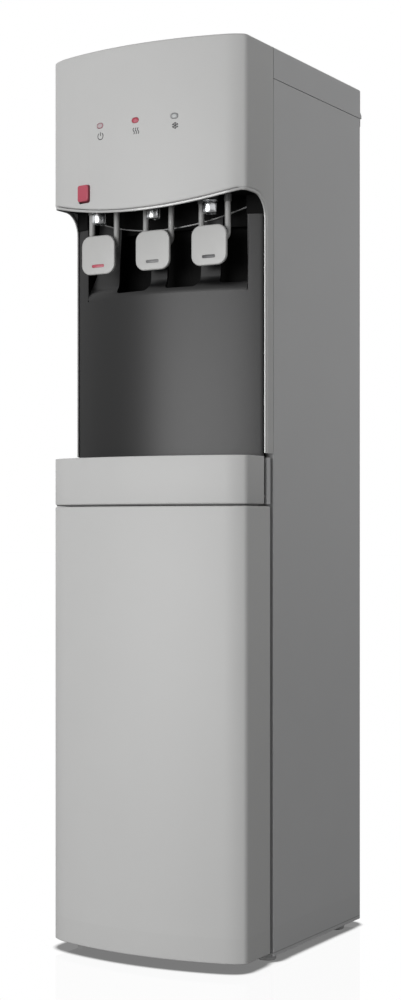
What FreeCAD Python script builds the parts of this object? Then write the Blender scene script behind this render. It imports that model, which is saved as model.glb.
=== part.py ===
import FreeCAD, Part
import math
import os
from FreeCAD import Vector

# A slim free-standing water cooler, fed from the water main, with three push taps, a drip tray and a
# door over its filters. Millimetres, +Z up, +X to the right of someone who stands in front of it.
# The origin is on the floor, in the middle of the width and of the whole depth. Depths are measured
# back from the middle of the bowed front, and y_of turns them into Y.

# Whole cabinet
body_height = 1070.0
body_width = 265.0
body_depth = 331.0
bow_radius = 397.0
corner_radius = 19.5
foot_height = 6.4
foot_radius = 11.0
foot_inset = 15.0
foot_reach = 42.0
foot_chamfer = 1.0

# Walls and clearances
shell_wall = 2.5
sheet = 0.6
flange = 10.0
bend_radius = 1.2
liner_wall = 2.0
seam = 0.8
fit_gap = 0.3
pin_play = 0.05
overcut = 1.0

# Depths of the front pieces
post_front = 74.4
side_front = 93.0
door_back = 84.0
tray_back = 69.3
housing_front = 76.4
recess_depth = 50.2

# Heights of the front pieces
door_bottom = 10.8
cup_height = 283.1
door_gap = 2.1
tray_height = 54.2
post_gap = 3.6
head_height = 194.3
smile_radius = 496.0
smile_rise = 16.3
arch_radius = 25.0
deck_rise = 18.3
deck_thickness = 3.0
cap_height = 37.0
cap_flare = 4.0
grip_height = 13.0
top_edge_radius = 3.0
edge_round = 1.6
rim_round = 0.8
lip_width = 3.0
lip_sink = 0.8

# Scooped panel behind the taps
panel_wall = 3.0
margin_width = 21.7
scoop_height = 118.0
scoop_roll = 20.0
scoop_fill = 30.0
scoop_angle = 30.0
tongue_lean = 2.0
tongue_width = 25.0
tongue_inset = 6.5
hot_tongue_spare = 15.5
pocket_height = 106.0
pocket_corner = 7.0
liner_depth = 38.0
skirt_drop = 21.5
skirt_wall = 1.5
curtain_drop = 32.0
curtain_depth = 24.0

# Taps and levers
tap_margin = 34.3
nozzle_depth = 41.0
nozzle_length = 22.3
nozzle_tip_radius = 8.1
nozzle_neck_radius = 6.2
nozzle_bore = 4.5
nozzle_ring = 0.6
nozzle_ring_height = 1.6
collar_radius = 9.8
collar_height = 9.0
collar_edge = 1.0
shank_radius = 5.5
shank_length = 10.0
tap_half_width = 11.0
tap_half_depth = 14.0
tap_height = 40.0
barb_radius = 4.0
barb_length = 12.0
barb_rise = 28.0
pivot_depth = 51.0
pivot_rise = 18.0
pin_radius = 2.0
ear_radius = 6.5
arm_radius = 3.5
arm_spread = 18.0
sleeve_radius = 4.5
sleeve_drop = 8.5
paddle_front = 37.4
paddle_thickness = 8.0
paddle_size = 46.6
paddle_drop = 59.0
paddle_corner = 12.0
paddle_edge = 2.0
mark_width = 17.2
mark_height = 3.6
mark_drop = 13.2
mark_depth = 0.6
lever_swing = 6.0

# Lock button, lamps and their board
button_width = 16.6
button_height = 20.0
button_offset = -76.2
button_rise = 27.3
button_proud = 3.5
button_travel = 3.0
button_corner = 2.5
board_depth = 24.0
board_thickness = 1.6
board_half_width = 90.0
board_top_rise = 128.0
boss_radius = 4.0
boss_inset = 7.0
lamp_pitch = 51.0
lamp_rise = 104.8
lamp_width = 9.2
lamp_height = 6.2
lamp_sink = 0.3

# Drip tray
tray_play = 0.8
tray_ledge = 2.5
tray_floor = 11.0
grille_thickness = 2.5
grille_slot = 4.0
grille_bridge = 5.0
grille_rim = 6.0
shelf_thickness = 2.7

# Door and its hinge
hinge_inset = 12.0
hinge_radius = 3.0
hinge_boss = 7.0
hinge_depth = 72.0
hinge_reach = 12.0
liner_offset = 2.0
magnet_width = 30.0
magnet_height = 10.0
magnet_thickness = 2.0
magnet_inset = 24.0
magnet_drop = 232.7

# Filter bay and filters
bay_rim = 14.0
bay_floor = 42.0
bay_drop = 47.0
bay_depth = 79.0
bay_clear = 2.5
filter_gap = 9.0
filter_lift = 124.0
filter_edge = 6.0
rib_count = 12
rib_radius = 1.6
rib_lift = 8.0
filter_neck_radius = 20.0
filter_neck_height = 16.0
head_gap = 5.0
head_back_gap = 3.0
head_cap_height = 36.0
head_cap_edge = 3.0
manifold_drop = 28.0
rail_height = 30.0

# Cooling machine
machine_gap = 19.5
compressor_height = 150.0
compressor_offset = -25.0
crown_radius = 26.0
compressor_wall = 3.0
motor_share = 0.67
motor_rise = 4.0
seam_lip = 4.0
seam_half = 3.0
belly_inset = 18.0
mount_radius = 10.0
mount_height = 14.0
mount_inset = 5.0
plate_thickness = 2.0
relay_width = 44.0
relay_height = 50.0
relay_reach = 22.0
relay_rise = 105.0
box_corner = 4.0
drier_radius = 11.0
drier_length = 110.0
drier_edge = 7.5
condenser_gap = 9.0
condenser_tube = 2.5
condenser_wire = 1.6
condenser_foot = 330.0
condenser_drop = 47.2
condenser_runs = 13
condenser_half_width = 104.0
wire_count = 19
clip_width = 16.0
clip_inset = 6.4

# Tanks
pan_wall = 2.0
pan_rim = 18.0
shelf_step = 1.5
stand_drop = 177.0
tank_front_gap = 41.5
tank_back_gap = 16.7
hot_tank_radius = 52.0
hot_tank_room = 50.0
cold_tank_height = 150.0
tank_edge = 20.0
jacket_wall = 16.0
tank_port_radius = 4.0
tank_port_height = 10.0
tank_port_offset = 20.0
tank_port_root = 2.0
tank_foot_height = 2.0
tank_foot_inset = 22.0
tank_wall = 1.0
hose_radius = 5.0
hose_bend = 16.0
hose_rise = 18.0

# Rear fittings
fitting_level = 110.0
fitting_gap = 21.0
switch_lift = 18.0
switch_width = 13.0
switch_radius = 11.0
switch_frame = 3.0
switch_throw = 16.0
dish_radius = 18.7
dish_reach = 22.0
slot_corner = 1.0
inlet_radius = 8.0
inlet_collar = 11.2
inlet_bore = 3.25
inlet_bore_length = 15.0
inlet_proud = 10.0
gland_radius = 9.0
gland_tip_radius = 6.75
gland_bore = 3.6
gland_proud = 8.0
gland_neck = 3.0
drain_radius = 9.0
drain_proud = 6.0
drain_reach = 8.0
drain_cap_radius = 13.0
drain_cap_height = 7.0
cap_rib_radius = 1.0
box_width = 96.0
box_height = 90.0
box_reach = 40.0
screw_radius = 3.5
screw_head = 1.8
vent_width = 40.0
vent_height = 5.0
vent_pitch = 13.0
vent_count = 8
vent_foot = 50.0
vent_inset = 35.5

# Places worked out from the sizes above
half_width = body_width / 2
overall_depth = body_depth + condenser_gap + condenser_tube + condenser_wire
inner_half = half_width - sheet
head_edge = body_height - head_height
post_foot = head_edge - cup_height
tray_top = post_foot - post_gap
tray_foot = tray_top - tray_height
door_top = tray_foot - door_gap
arch_top = head_edge + smile_rise
ceiling = head_edge + deck_rise
deck_top = ceiling + deck_thickness
cap_foot = body_height - cap_height
side_top = cap_foot - seam
panel_radius = bow_radius - recess_depth
panel_half = half_width - shell_wall - fit_gap
alcove_half = half_width - margin_width
tap_pitch = alcove_half - tap_margin
shelf_top = tray_foot + tray_floor - fit_gap
housing_back = door_back + seam
pivot_level = ceiling + pivot_rise
paddle_back = paddle_front + paddle_thickness
paddle_level = ceiling - paddle_drop
hinge_x = hinge_inset - half_width
magnet_level = door_top - magnet_drop
tank_shelf_level = shelf_top + shelf_step
stand_level = ceiling - stand_drop
hot_tank_height = stand_level - tank_shelf_level - hot_tank_room
tank_front = recess_depth + liner_depth + tank_front_gap
tank_back = body_depth - tank_back_gap
tank_depth = (tank_front + tank_back) / 2
cold_tank_radius = (tank_back - tank_front) / 2 - jacket_wall - fit_gap
bay_half = half_width - bay_rim - liner_wall
bay_top = tank_shelf_level - bay_drop
bay_back = side_front + bay_depth
filter_pitch = 2 * (bay_half - bay_clear) / 3
filter_radius = filter_pitch / 2 - filter_gap
head_radius = filter_pitch / 2 - head_gap
filter_depth = bay_back - liner_wall - head_back_gap - head_radius
filter_top = bay_top - manifold_drop - head_cap_height
filter_length = filter_top - bay_floor - filter_lift
condenser_head = side_top - condenser_drop
vent_offset = half_width - vent_inset
fitting_pitch = vent_offset - vent_width / 2 - fitting_gap
pan_top = foot_height + pan_wall
compressor_depth = (bay_back + body_depth) / 2
compressor_radius = (body_depth - bay_back) / 2 - machine_gap
compressor_edge = compressor_radius - crown_radius
motor_inset = compressor_edge - motor_rise
mount_spread = compressor_radius - mount_inset
compressor_foot = pan_top + mount_height
compressor_top = compressor_foot + compressor_height
switch_level = compressor_top + switch_lift + box_height / 2
tap_names = {"hot": -tap_pitch, "ambient": 0.0, "cold": tap_pitch}


def y_of(depth):
    """Y of a depth behind the middle of the bowed front."""
    return depth - overall_depth / 2


def box(x0, x1, d0, d1, z0, z1):
    """A block between two X, two depths and two heights."""
    return Part.makeBox(x1 - x0, d1 - d0, z1 - z0, Vector(x0, y_of(d0), z0))


def rod_x(x0, x1, depth, z, radius):
    """A round bar across the width."""
    return Part.makeCylinder(radius, x1 - x0, Vector(x0, y_of(depth), z), Vector(1, 0, 0))


def rod_y(x, d0, d1, z, radius):
    """A round bar from front to back."""
    return Part.makeCylinder(radius, d1 - d0, Vector(x, y_of(d0), z), Vector(0, 1, 0))


def rod_z(x, depth, z0, z1, radius):
    """An upright round bar."""
    return Part.makeCylinder(radius, z1 - z0, Vector(x, y_of(depth), z0), Vector(0, 0, 1))


def edges_along(shape, axis):
    """The straight edges of a shape that run along an axis."""
    found = []
    for edge in shape.Edges:
        if len(edge.Vertexes) == 2:
            run = (edge.Vertexes[1].Point - edge.Vertexes[0].Point).normalize()
            if abs(run.dot(axis)) > 0.999:
                found.append(edge)
    return found


def edges_at_height(shape, z):
    """The edges of a shape that lie in a level plane."""
    return [e for e in shape.Edges if abs(e.BoundBox.ZMin - z) < 1e-6 and abs(e.BoundBox.ZMax - z) < 1e-6]


def rim_edges(block, z, depth_end):
    """The level edges of a block at a height, without the straight one at its rear."""
    rear = y_of(depth_end)
    return [e for e in edges_at_height(block, z) if e.BoundBox.YMin < rear - 1e-6]


def rounded_slab(x, z, width, height, radius, d0, d1):
    """A block seen from the front as a rectangle with round corners."""
    slab = box(x - width / 2, x + width / 2, d0, d1, z - height / 2, z + height / 2)
    return slab.makeFillet(radius, edges_along(slab, Vector(0, 1, 0)))


def oval_slab(x, z, width, height, d0, d1):
    """A bar from front to back with an oval section, its long way across."""
    reach = (width - height) / 2
    core = box(x - reach, x + reach, d0, d1, z - height / 2, z + height / 2)
    ends = [rod_y(x + side * reach, d0, d1, z, height / 2) for side in (-1, 1)]
    return core.multiFuse(ends).removeSplitter()


def can(x, depth, z0, z1, radius, edge):
    """An upright vessel with rounded ends."""
    body = rod_z(x, depth, z0, z1, radius)
    return body.makeFillet(edge, edges_at_height(body, z0) + edges_at_height(body, z1))


def turned(x, depth, profile):
    """A closed profile of (radius, height) points turned about an upright axis."""
    points = [Vector(x + r, y_of(depth), z) for r, z in profile]
    face = Part.Face(Part.makePolygon(points + points[:1]))
    return face.revolve(Vector(x, y_of(depth), 0), Vector(0, 0, 1), 360)


def bow_disc(radius, z0, z1):
    """A full disc about the upright axis that the bowed front is struck from."""
    return rod_z(0, bow_radius, z0, z1, radius)


def bow_sheet(outer, wall, half, z0, z1):
    """A bowed sheet of one wall, concentric with the front, as wide as half on each side."""
    ring = bow_disc(outer, z0, z1).cut(bow_disc(outer - wall, z0, z1))
    return ring.common(box(-half, half, 0, bow_radius, z0, z1))


def front_block(inset, depth_end, z0, z1):
    """A block on the cabinet's plan: bowed front, round corners, flat sides, cut off at a depth."""
    corner_x = half_width - corner_radius
    corner_d = bow_radius - math.sqrt((bow_radius - corner_radius) ** 2 - corner_x ** 2)
    ray = Vector(corner_x, corner_d - bow_radius, 0).normalize()
    middle = (ray + Vector(1, 0, 0)).normalize()
    reach = corner_radius - inset
    side = half_width - inset

    def at(x, depth):
        return Vector(x, y_of(depth), z0)

    def corner_arc(sign):
        start = at(sign * (corner_x + reach * ray.x), corner_d + reach * ray.y)
        halfway = at(sign * (corner_x + reach * middle.x), corner_d + reach * middle.y)
        end = at(sign * side, corner_d)
        return start, halfway, end

    right = corner_arc(1)
    left = corner_arc(-1)
    edges = [
        Part.Arc(left[0], at(0, inset), right[0]).toShape(),
        Part.Arc(*right).toShape(),
        Part.makeLine(right[2], at(side, depth_end)),
        Part.makeLine(at(side, depth_end), at(-side, depth_end)),
        Part.makeLine(at(-side, depth_end), left[2]),
        Part.Arc(left[2], left[1], left[0]).toShape(),
    ]
    return Part.Face(Part.Wire(edges)).extrude(Vector(0, 0, z1 - z0))


def fuse(shapes):
    """One solid from several that meet, without the seams."""
    return shapes[0].multiFuse(shapes[1:]).removeSplitter()


def group(shapes):
    """Several separate solids kept together in one node."""
    return Part.makeCompound(shapes)


def recess_space(grow=0.0):
    """What the head leaves open above the tray: a smile seen from the front, an arch from the side.

    The opening is larger all round by grow.
    """
    low = tray_top - overcut
    front = -overcut
    post = post_front + grow
    top = arch_top + grow
    radius = arch_radius + grow
    turn = radius * (1 - math.sqrt(0.5))
    side = half_width + overcut

    def at(depth, z):
        return Vector(-side, y_of(depth), z)

    edges = [
        Part.makeLine(at(front, low), at(post, low)),
        Part.makeLine(at(post, low), at(post, top - radius)),
        Part.Arc(at(post, top - radius), at(post - turn, top - turn), at(post - radius, top)).toShape(),
        Part.makeLine(at(post - radius, top), at(front, top)),
        Part.makeLine(at(front, top), at(front, low)),
    ]
    prism = Part.Face(Part.Wire(edges)).extrude(Vector(2 * side, 0, 0))
    smile = rod_y(0, front - overcut, post + overcut, head_edge + smile_radius, smile_radius - grow)
    return prism.cut(smile)


def button_hole():
    """Opening in the fascia that the lock button slides in."""
    return rounded_slab(button_offset, head_edge + button_rise, button_width + 2 * fit_gap,
                        button_height + 2 * fit_gap, button_corner + fit_gap, -overcut,
                        board_depth - overcut)


def head_fascia():
    """Front of the head with its top, its two side posts and the bosses for the lamp board.

    A narrow lip, set back from the face, runs along the smile, round the arches and down the posts.
    """
    rear = side_front - seam
    outer = front_block(0, rear, post_foot, body_height)
    outer = outer.makeFillet(top_edge_radius, rim_edges(outer, body_height, rear))
    inner = front_block(shell_wall, side_front + overcut, post_foot - overcut, body_height - shell_wall)
    core = front_block(lip_sink, side_front + overcut, post_foot - overcut, body_height)
    lip = recess_space(lip_width).cut(core)
    shell = outer.cut(inner).cut(recess_space()).cut(lip)
    within = front_block(shell_wall / 2, side_front, head_edge, body_height)
    bosses = [rod_y(x, 0, board_depth, z, boss_radius).common(within) for x, z in boss_places()]
    shell = fuse([shell] + bosses)
    lamps = [lamp_hole(x) for x in lamp_places()]
    return shell.cut(group(lamps + [button_hole()]))


def boss_places():
    """X and height of the four bosses that carry the lamp board."""
    side = board_half_width - boss_inset
    top = head_edge + board_top_rise - boss_inset
    low = head_edge + button_rise + button_height
    return [(sign * side, z) for sign in (-1, 1) for z in (low, top)]


def lamp_places():
    """X of the three lamps."""
    return [-lamp_pitch, 0.0, lamp_pitch]


def lamp_hole(x):
    """Oval opening for one lamp's light guide."""
    return oval_slab(x, head_edge + lamp_rise, lamp_width + 2 * fit_gap, lamp_height + 2 * fit_gap,
                     -overcut, board_depth - overcut)


def lamp_lens(x):
    """Oval light guide from the board to just under the fascia's face."""
    bar = oval_slab(x, head_edge + lamp_rise, lamp_width, lamp_height, -overcut, board_depth)
    return bar.common(bow_disc(bow_radius - lamp_sink, head_edge, body_height))


def lamp_board():
    """Circuit board behind the fascia for the lamps and the lock switch."""
    board = box(-board_half_width, board_half_width, board_depth, board_depth + board_thickness,
                deck_top + fit_gap, head_edge + board_top_rise)
    return fuse([board, lock_switch()])


def lock_button():
    """Square push button whose face follows the bow of the fascia."""
    back = board_depth - button_travel - 2 * fit_gap - liner_wall
    stem = rounded_slab(button_offset, head_edge + button_rise, button_width, button_height,
                        button_corner, -button_proud - overcut, back)
    return stem.common(bow_disc(bow_radius + button_proud, head_edge, body_height))


def lock_switch():
    """Small switch on the board, right behind the button."""
    side = button_width / 4
    level = head_edge + button_rise
    return box(button_offset - side, button_offset + side, board_depth - liner_wall, board_depth,
               level - side, level + side)


def top_cover():
    """Cap over the rear of the head, with a rear skirt that flares at its foot."""
    def profile(inset, low):
        rear = body_depth - inset
        front = side_front + inset
        flared = rear + cap_flare
        points = [(front, low), (flared, low), (flared, cap_foot + cap_flare),
                  (rear, cap_foot + 2 * cap_flare), (rear, body_height - inset), (front, body_height - inset)]
        corners = [Vector(-half_width + inset, y_of(d), z) for d, z in points]
        face = Part.Face(Part.makePolygon(corners + corners[:1]))
        return face.extrude(Vector(body_width - 2 * inset, 0, 0))

    outer = profile(0, cap_foot)
    sides = [e for e in edges_at_height(outer, body_height)
             if abs(e.BoundBox.XMax - e.BoundBox.XMin) < 1e-6 or e.BoundBox.YMin > 0]
    return outer.makeFillet(top_edge_radius, sides).cut(profile(shell_wall, cap_foot - overcut))


def rear_grip():
    """Dark hand-grip strip under the rear edge of the cap."""
    half = inner_half - bend_radius
    strip = box(-half, half, body_depth, body_depth + cap_flare, cap_foot - grip_height, cap_foot)
    foot_edges = edges_at_height(strip, cap_foot - grip_height)
    low = [e for e in foot_edges if e.BoundBox.YMin > y_of(body_depth + fit_gap)]
    return strip.makeChamfer(cap_flare - fit_gap, low)


def side_panel(sign):
    """Folded steel side with a return flange along its front and its rear edge."""
    outer = box(half_width - flange, half_width, side_front, body_depth, foot_height, side_top)
    bends = [e for e in edges_along(outer, Vector(0, 0, 1)) if e.BoundBox.XMin > inner_half]
    inner = box(half_width - flange - overcut, inner_half, side_front + sheet, body_depth - sheet,
                foot_height - overcut, side_top + overcut)
    panel = outer.makeFillet(bend_radius, bends).cut(inner)
    return panel if sign > 0 else panel.mirror(Vector(0, 0, 0), Vector(1, 0, 0))


def back_plate():
    """Flat rear sheet inside the rear flanges, vented, with the holes for the rear fittings."""
    plate = box(-inner_half, inner_half, body_depth - 2 * sheet, body_depth - sheet, pan_top, side_top)
    rear = body_depth + 1
    front = body_depth - 2 * sheet - 1
    vents = [oval_slab(sign * vent_offset, vent_foot + vent_pitch * i, vent_width, vent_height, front, rear)
             for sign in (-1, 1) for i in range(vent_count)]
    holes = [rod_y(fitting_pitch, front, rear, fitting_level, inlet_radius + fit_gap),
             rod_y(-fitting_pitch, front, rear, fitting_level, gland_radius - liner_wall + fit_gap),
             rod_y(0, front, rear, fitting_level, drain_radius + fit_gap)]
    windows = [box(x - switch_width / 2 - fit_gap, x + switch_width / 2 + fit_gap, front, rear,
                   switch_level - switch_radius - fit_gap, switch_level + switch_radius + fit_gap)
               for x in switch_places()]
    return plate.cut(group(vents + holes + windows))


def tap_deck():
    """Dark ceiling of the tap space, with a hole for each nozzle and slots for each lever.

    It turns down in front of the panel's margins, and as a curtain behind the levers.
    """
    low = ceiling - overcut
    high = deck_top + overcut
    plan = front_block(shell_wall + fit_gap, side_front - seam - fit_gap, ceiling, deck_top)
    plan = plan.cut(bow_disc(panel_radius - liner_depth, low, high))
    foot = ceiling - skirt_drop
    skirt = bow_sheet(panel_radius + fit_gap + skirt_wall, skirt_wall, panel_half, foot, deck_top)
    skirt = skirt.cut(box(-alcove_half, alcove_half, 0, bow_radius, foot, deck_top))
    foot = ceiling - curtain_drop
    curtain = bow_sheet(panel_radius - curtain_depth, skirt_wall, alcove_half, foot, deck_top)
    swing = (pivot_level - ceiling) * math.tan(math.radians(lever_swing))
    room = button_width / 2 + 4 * fit_gap
    reach = sleeve_radius + 4 * fit_gap
    front = pivot_depth - reach
    back = pivot_depth + swing + reach
    cuts = [box(button_offset - room, button_offset + room, 0, board_depth, low, high)]
    for x in tap_names.values():
        cuts.append(rod_z(x, nozzle_depth, low, high, shank_radius + fit_gap))
        for side in (-1, 1):
            arm = x + side * arm_spread
            cuts.append(box(arm - reach, arm + reach, front, back, low, high))
    return fuse([plan.cut(group(cuts)), skirt, curtain])


def scoop_wall(outer_shift, wall):
    """Bowed wall that rolls back from the panel and then leans: its face moved inward by outer_shift."""
    foot = ceiling - scoop_height
    lean = math.radians(tongue_lean)
    tilt = math.radians(scoop_angle)

    def at(radius, z):
        return Vector(0, y_of(bow_radius) - radius, z)

    def line_of(shift):
        roll = scoop_roll - shift
        fill = scoop_fill + shift
        centre_r = panel_radius - scoop_roll
        bend_r = centre_r + roll * math.cos(tilt)
        bend_z = foot + roll * math.sin(tilt)
        far_r = centre_r + (scoop_roll + scoop_fill) * math.cos(tilt)
        far_z = foot + (scoop_roll + scoop_fill) * math.sin(tilt)
        end_r = far_r - fill * math.cos(lean)
        end_z = far_z - fill * math.sin(lean)
        top_r = end_r - (ceiling - end_z) * math.tan(lean)
        mid = (tilt + lean) / 2
        return [at(centre_r + roll, foot),
                at(centre_r + roll * math.cos(tilt / 2), foot + roll * math.sin(tilt / 2)),
                at(bend_r, bend_z),
                at(far_r - fill * math.cos(mid), far_z - fill * math.sin(mid)),
                at(end_r, end_z), at(top_r, ceiling)]

    face = line_of(outer_shift)
    back = line_of(outer_shift + wall)
    edges = [Part.Arc(*face[0:3]).toShape(), Part.Arc(*face[2:5]).toShape(), Part.makeLine(face[4], face[5]),
             Part.makeLine(face[5], back[5]), Part.makeLine(back[5], back[4]), Part.Arc(*back[2:5]).toShape(),
             Part.Arc(*back[0:3]).toShape(), Part.makeLine(back[0], face[0])]
    section = Part.Face(Part.Wire(edges))
    spread = math.degrees(math.asin((alcove_half + 2 * panel_wall) / (panel_radius - liner_depth)))
    section.rotate(Vector(0, y_of(bow_radius), 0), Vector(0, 0, 1), -spread)
    return section.revolve(Vector(0, y_of(bow_radius), 0), Vector(0, 0, 1), 2 * spread)


def pocket_cuts():
    """The four openings beside the tongues, with round lower corners; the hot tongue is wider outside."""
    foot = ceiling - pocket_height
    head = ceiling + pocket_corner + overcut
    walls = [-alcove_half]
    for x in tap_names.values():
        centre = x * (tap_pitch - tongue_inset) / tap_pitch
        spare = hot_tongue_spare if x < 0 else 0
        walls += [centre - tongue_width / 2 - spare, centre + tongue_width / 2]
    walls.append(alcove_half)
    cuts = []
    for left, right in zip(walls[0::2], walls[1::2]):
        radius = min(pocket_corner, (right - left) / 2 - fit_gap)
        cuts.append(rounded_slab((left + right) / 2, (foot + head) / 2, right - left, head - foot, radius,
                                 0, recess_depth + liner_depth))
    return cuts


def recess_panel():
    """Bowed panel behind the cups: upright margins, and a scooped middle with three tongues."""
    foot = ceiling - scoop_height
    skin = bow_sheet(panel_radius, panel_wall, panel_half, shelf_top, ceiling)
    skin = skin.cut(box(-alcove_half, alcove_half, 0, bow_radius, foot, ceiling + overcut))
    span = box(-alcove_half - panel_wall, alcove_half + panel_wall, 0, bow_radius, foot, ceiling)
    scoop = scoop_wall(0, panel_wall).common(span)
    return fuse([skin, scoop, alcove_cheeks(0)]).cut(group(pocket_cuts()))


def alcove_cheeks(play):
    """Side walls of the scoop, from the margins back to the tongues, grown all round by play."""
    foot = ceiling - scoop_height
    fall = (scoop_roll + scoop_fill) * (1 - math.cos(math.radians(scoop_angle)))
    depth = fall + scoop_height * math.tan(math.radians(tongue_lean)) + panel_wall
    cheeks = bow_sheet(panel_radius, depth + play, alcove_half + panel_wall + play, foot - play, ceiling)
    side = alcove_half - play
    return cheeks.cut(box(-side, side, 0, bow_radius, foot - overcut, ceiling + overcut))


def alcove_liner():
    """Black box behind the pockets, which the lever arms swing back into."""
    foot = ceiling - pocket_height - scoop_fill / 4
    side = alcove_half + panel_wall + fit_gap + liner_wall
    front = panel_radius - panel_wall - fit_gap
    outer = bow_sheet(front, liner_depth - panel_wall - fit_gap, side, foot, ceiling)
    inner = bow_disc(front + overcut, foot + liner_wall, ceiling + overcut)
    inner = inner.cut(bow_disc(panel_radius - liner_depth + liner_wall, foot, ceiling + overcut))
    inner = inner.common(box(-side + liner_wall, side - liner_wall, 0, bow_radius, foot, ceiling + overcut))
    behind = scoop_wall(-scoop_roll / 2, scoop_roll / 2 + panel_wall + fit_gap)
    return outer.cut(inner).cut(behind).cut(alcove_cheeks(fit_gap))


def tap_body(x):
    """Valve block of one tap, on the deck, with its rear hose barb."""
    rear = pivot_depth + pin_radius + shell_wall
    block = box(x - tap_half_width, x + tap_half_width, nozzle_depth - tap_half_depth, rear, deck_top,
                deck_top + tap_height)
    block = block.makeFillet(pin_radius, edges_along(block, Vector(0, 0, 1)))
    barb = rod_y(x, rear - overcut, rear + barb_length, deck_top + barb_rise, barb_radius)
    bore = rod_z(x, nozzle_depth, deck_top - overcut, ceiling + shank_length + overcut,
                 shank_radius + fit_gap)
    across = tap_half_width + overcut
    hole = rod_x(x - across, x + across, pivot_depth, pivot_level, pin_radius + pin_play)
    return fuse([block, barb]).cut(group([bore, hole]))


def nozzle(x):
    """Chromed spout: threaded shank, collar under the deck and a skirt that widens to its tip."""
    tip = ceiling - nozzle_length
    neck = ceiling - collar_height
    ring = nozzle_tip_radius + nozzle_ring
    ring_top = tip + nozzle_ring_height
    profile = [(nozzle_bore, tip), (ring, tip), (ring, ring_top), (nozzle_tip_radius, ring_top),
               (nozzle_neck_radius, neck), (collar_radius - collar_edge, neck),
               (collar_radius, neck + collar_edge), (collar_radius, ceiling), (shank_radius, ceiling),
               (shank_radius, ceiling + shank_length), (nozzle_bore, ceiling + shank_length)]
    return turned(x, nozzle_depth, profile)


def lever(x):
    """Two round arms that hang from the pivot pin in thicker sleeves and bend forward to the paddle."""
    bend = pivot_depth - paddle_back
    foot = paddle_level + paddle_size / 6
    turn = bend * (1 - math.sqrt(0.5))
    pieces = []
    for side in (-1, 1):
        arm = x + side * arm_spread
        top = Vector(arm, y_of(pivot_depth), pivot_level)
        knee = Vector(arm, y_of(pivot_depth), foot + bend)
        middle = Vector(arm, y_of(pivot_depth) - turn, foot + turn)
        end = Vector(arm, y_of(paddle_back), foot)
        path = Part.Wire([Part.makeLine(top, knee), Part.Arc(knee, middle, end).toShape()])
        section = Part.Wire(Part.makeCircle(arm_radius, top, Vector(0, 0, -1)))
        pieces.append(path.makePipeShell([section], True, False))
        pieces.append(rod_z(arm, pivot_depth, ceiling - sleeve_drop, pivot_level, sleeve_radius))
        pieces.append(rod_x(arm - arm_radius, arm + arm_radius, pivot_depth, pivot_level, ear_radius))
    pieces.append(box(x - arm_spread, x + arm_spread, paddle_back, paddle_back + arm_radius,
                      foot - arm_radius, foot + arm_radius))
    hole = rod_x(x - 2 * arm_spread, x + 2 * arm_spread, pivot_depth, pivot_level, pin_radius + pin_play)
    return fuse(pieces).cut(hole)


def paddle(x):
    """Rounded push plate at the foot of one lever, with a shallow seat for its colour mark."""
    plate = rounded_slab(x, paddle_level, paddle_size, paddle_size, paddle_corner, paddle_front, paddle_back)
    face_edges = [e for e in plate.Edges if e.BoundBox.YMax < y_of(paddle_front) + 1e-6]
    return plate.makeFillet(paddle_edge, face_edges).cut(paddle_mark(x, fit_gap / 10))


def paddle_mark(x, play=0.0):
    """Coloured bar let into the paddle's face."""
    return rounded_slab(x, paddle_level - mark_drop, mark_width + 2 * play, mark_height + 2 * play,
                        mark_height / 4, paddle_front, paddle_front + mark_depth)


def lever_pin(x):
    """Steel pin across the valve block that both lever arms turn on."""
    reach = arm_spread + sleeve_radius + fit_gap
    return rod_x(x - reach, x + reach, pivot_depth, pivot_level, pin_radius)


def tray_plan(inset, z0, z1):
    """Plan of the drip tray between the bowed front and the recess panel, moved inward all round."""
    block = front_block(inset, tray_back - inset, z0, z1)
    return block.cut(bow_disc(panel_radius + tray_play + inset, z0 - overcut, z1 + overcut))


def grille_seat():
    """Height of the ledge that the grille lies on."""
    return tray_top - grille_thickness


def drip_tray():
    """Bowed tray: a tall front skirt round a basin, with a ledge for the grille."""
    block = front_block(0, tray_back, tray_foot, tray_top)
    block = block.makeFillet(edge_round, rim_edges(block, tray_foot, tray_back))
    block = block.makeFillet(rim_round, rim_edges(block, tray_top, tray_back))
    outer = block.cut(bow_disc(panel_radius + tray_play, tray_foot - overcut, tray_top + overcut))
    basin = tray_plan(shell_wall + tray_ledge, tray_foot + tray_floor + shell_wall, tray_top + overcut)
    seat = tray_plan(shell_wall, grille_seat(), tray_top + overcut)
    under = front_block(shell_wall, housing_back, tray_foot - overcut, tray_foot + tray_floor)
    return outer.cut(basin).cut(seat).cut(under)


def drip_grille():
    """Slotted plate on the tray's ledge."""
    plate = tray_plan(shell_wall + fit_gap, grille_seat(), tray_top)
    rim = shell_wall + tray_ledge + grille_rim
    field = tray_plan(rim, grille_seat() - overcut, tray_top + overcut)
    step = grille_slot + grille_bridge
    count = int((half_width - rim - corner_radius) / step)
    half = grille_slot / 2
    low = grille_seat() - overcut
    slots = [box(i * step - half, i * step + half, 0, tray_back, low, tray_top + overcut)
             for i in range(-count, count + 1)]
    return plate.cut(group([slot.common(field) for slot in slots]))


def tray_housing():
    """Fixed moulding that carries the tray and the recess panel, flush with the door at its sides."""
    low = shelf_top - shelf_thickness
    shelf = front_block(shell_wall + 2 * fit_gap, housing_back, low, shelf_top)
    wall = box(-half_width, half_width, housing_back - shell_wall, housing_back, tray_foot, tray_top)
    cheeks = [box(x, x + shell_wall, housing_front, housing_back, tray_foot, tray_top)
              for x in (-half_width, half_width - shell_wall)]
    boss = rod_z(hinge_x, hinge_depth, tray_foot, shelf_top, hinge_boss)
    pin_hole = rod_z(hinge_x, hinge_depth, tray_foot - overcut, shelf_top + overcut, hinge_radius + pin_play)
    return fuse([shelf, wall, boss] + cheeks).cut(pin_hole)


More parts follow.
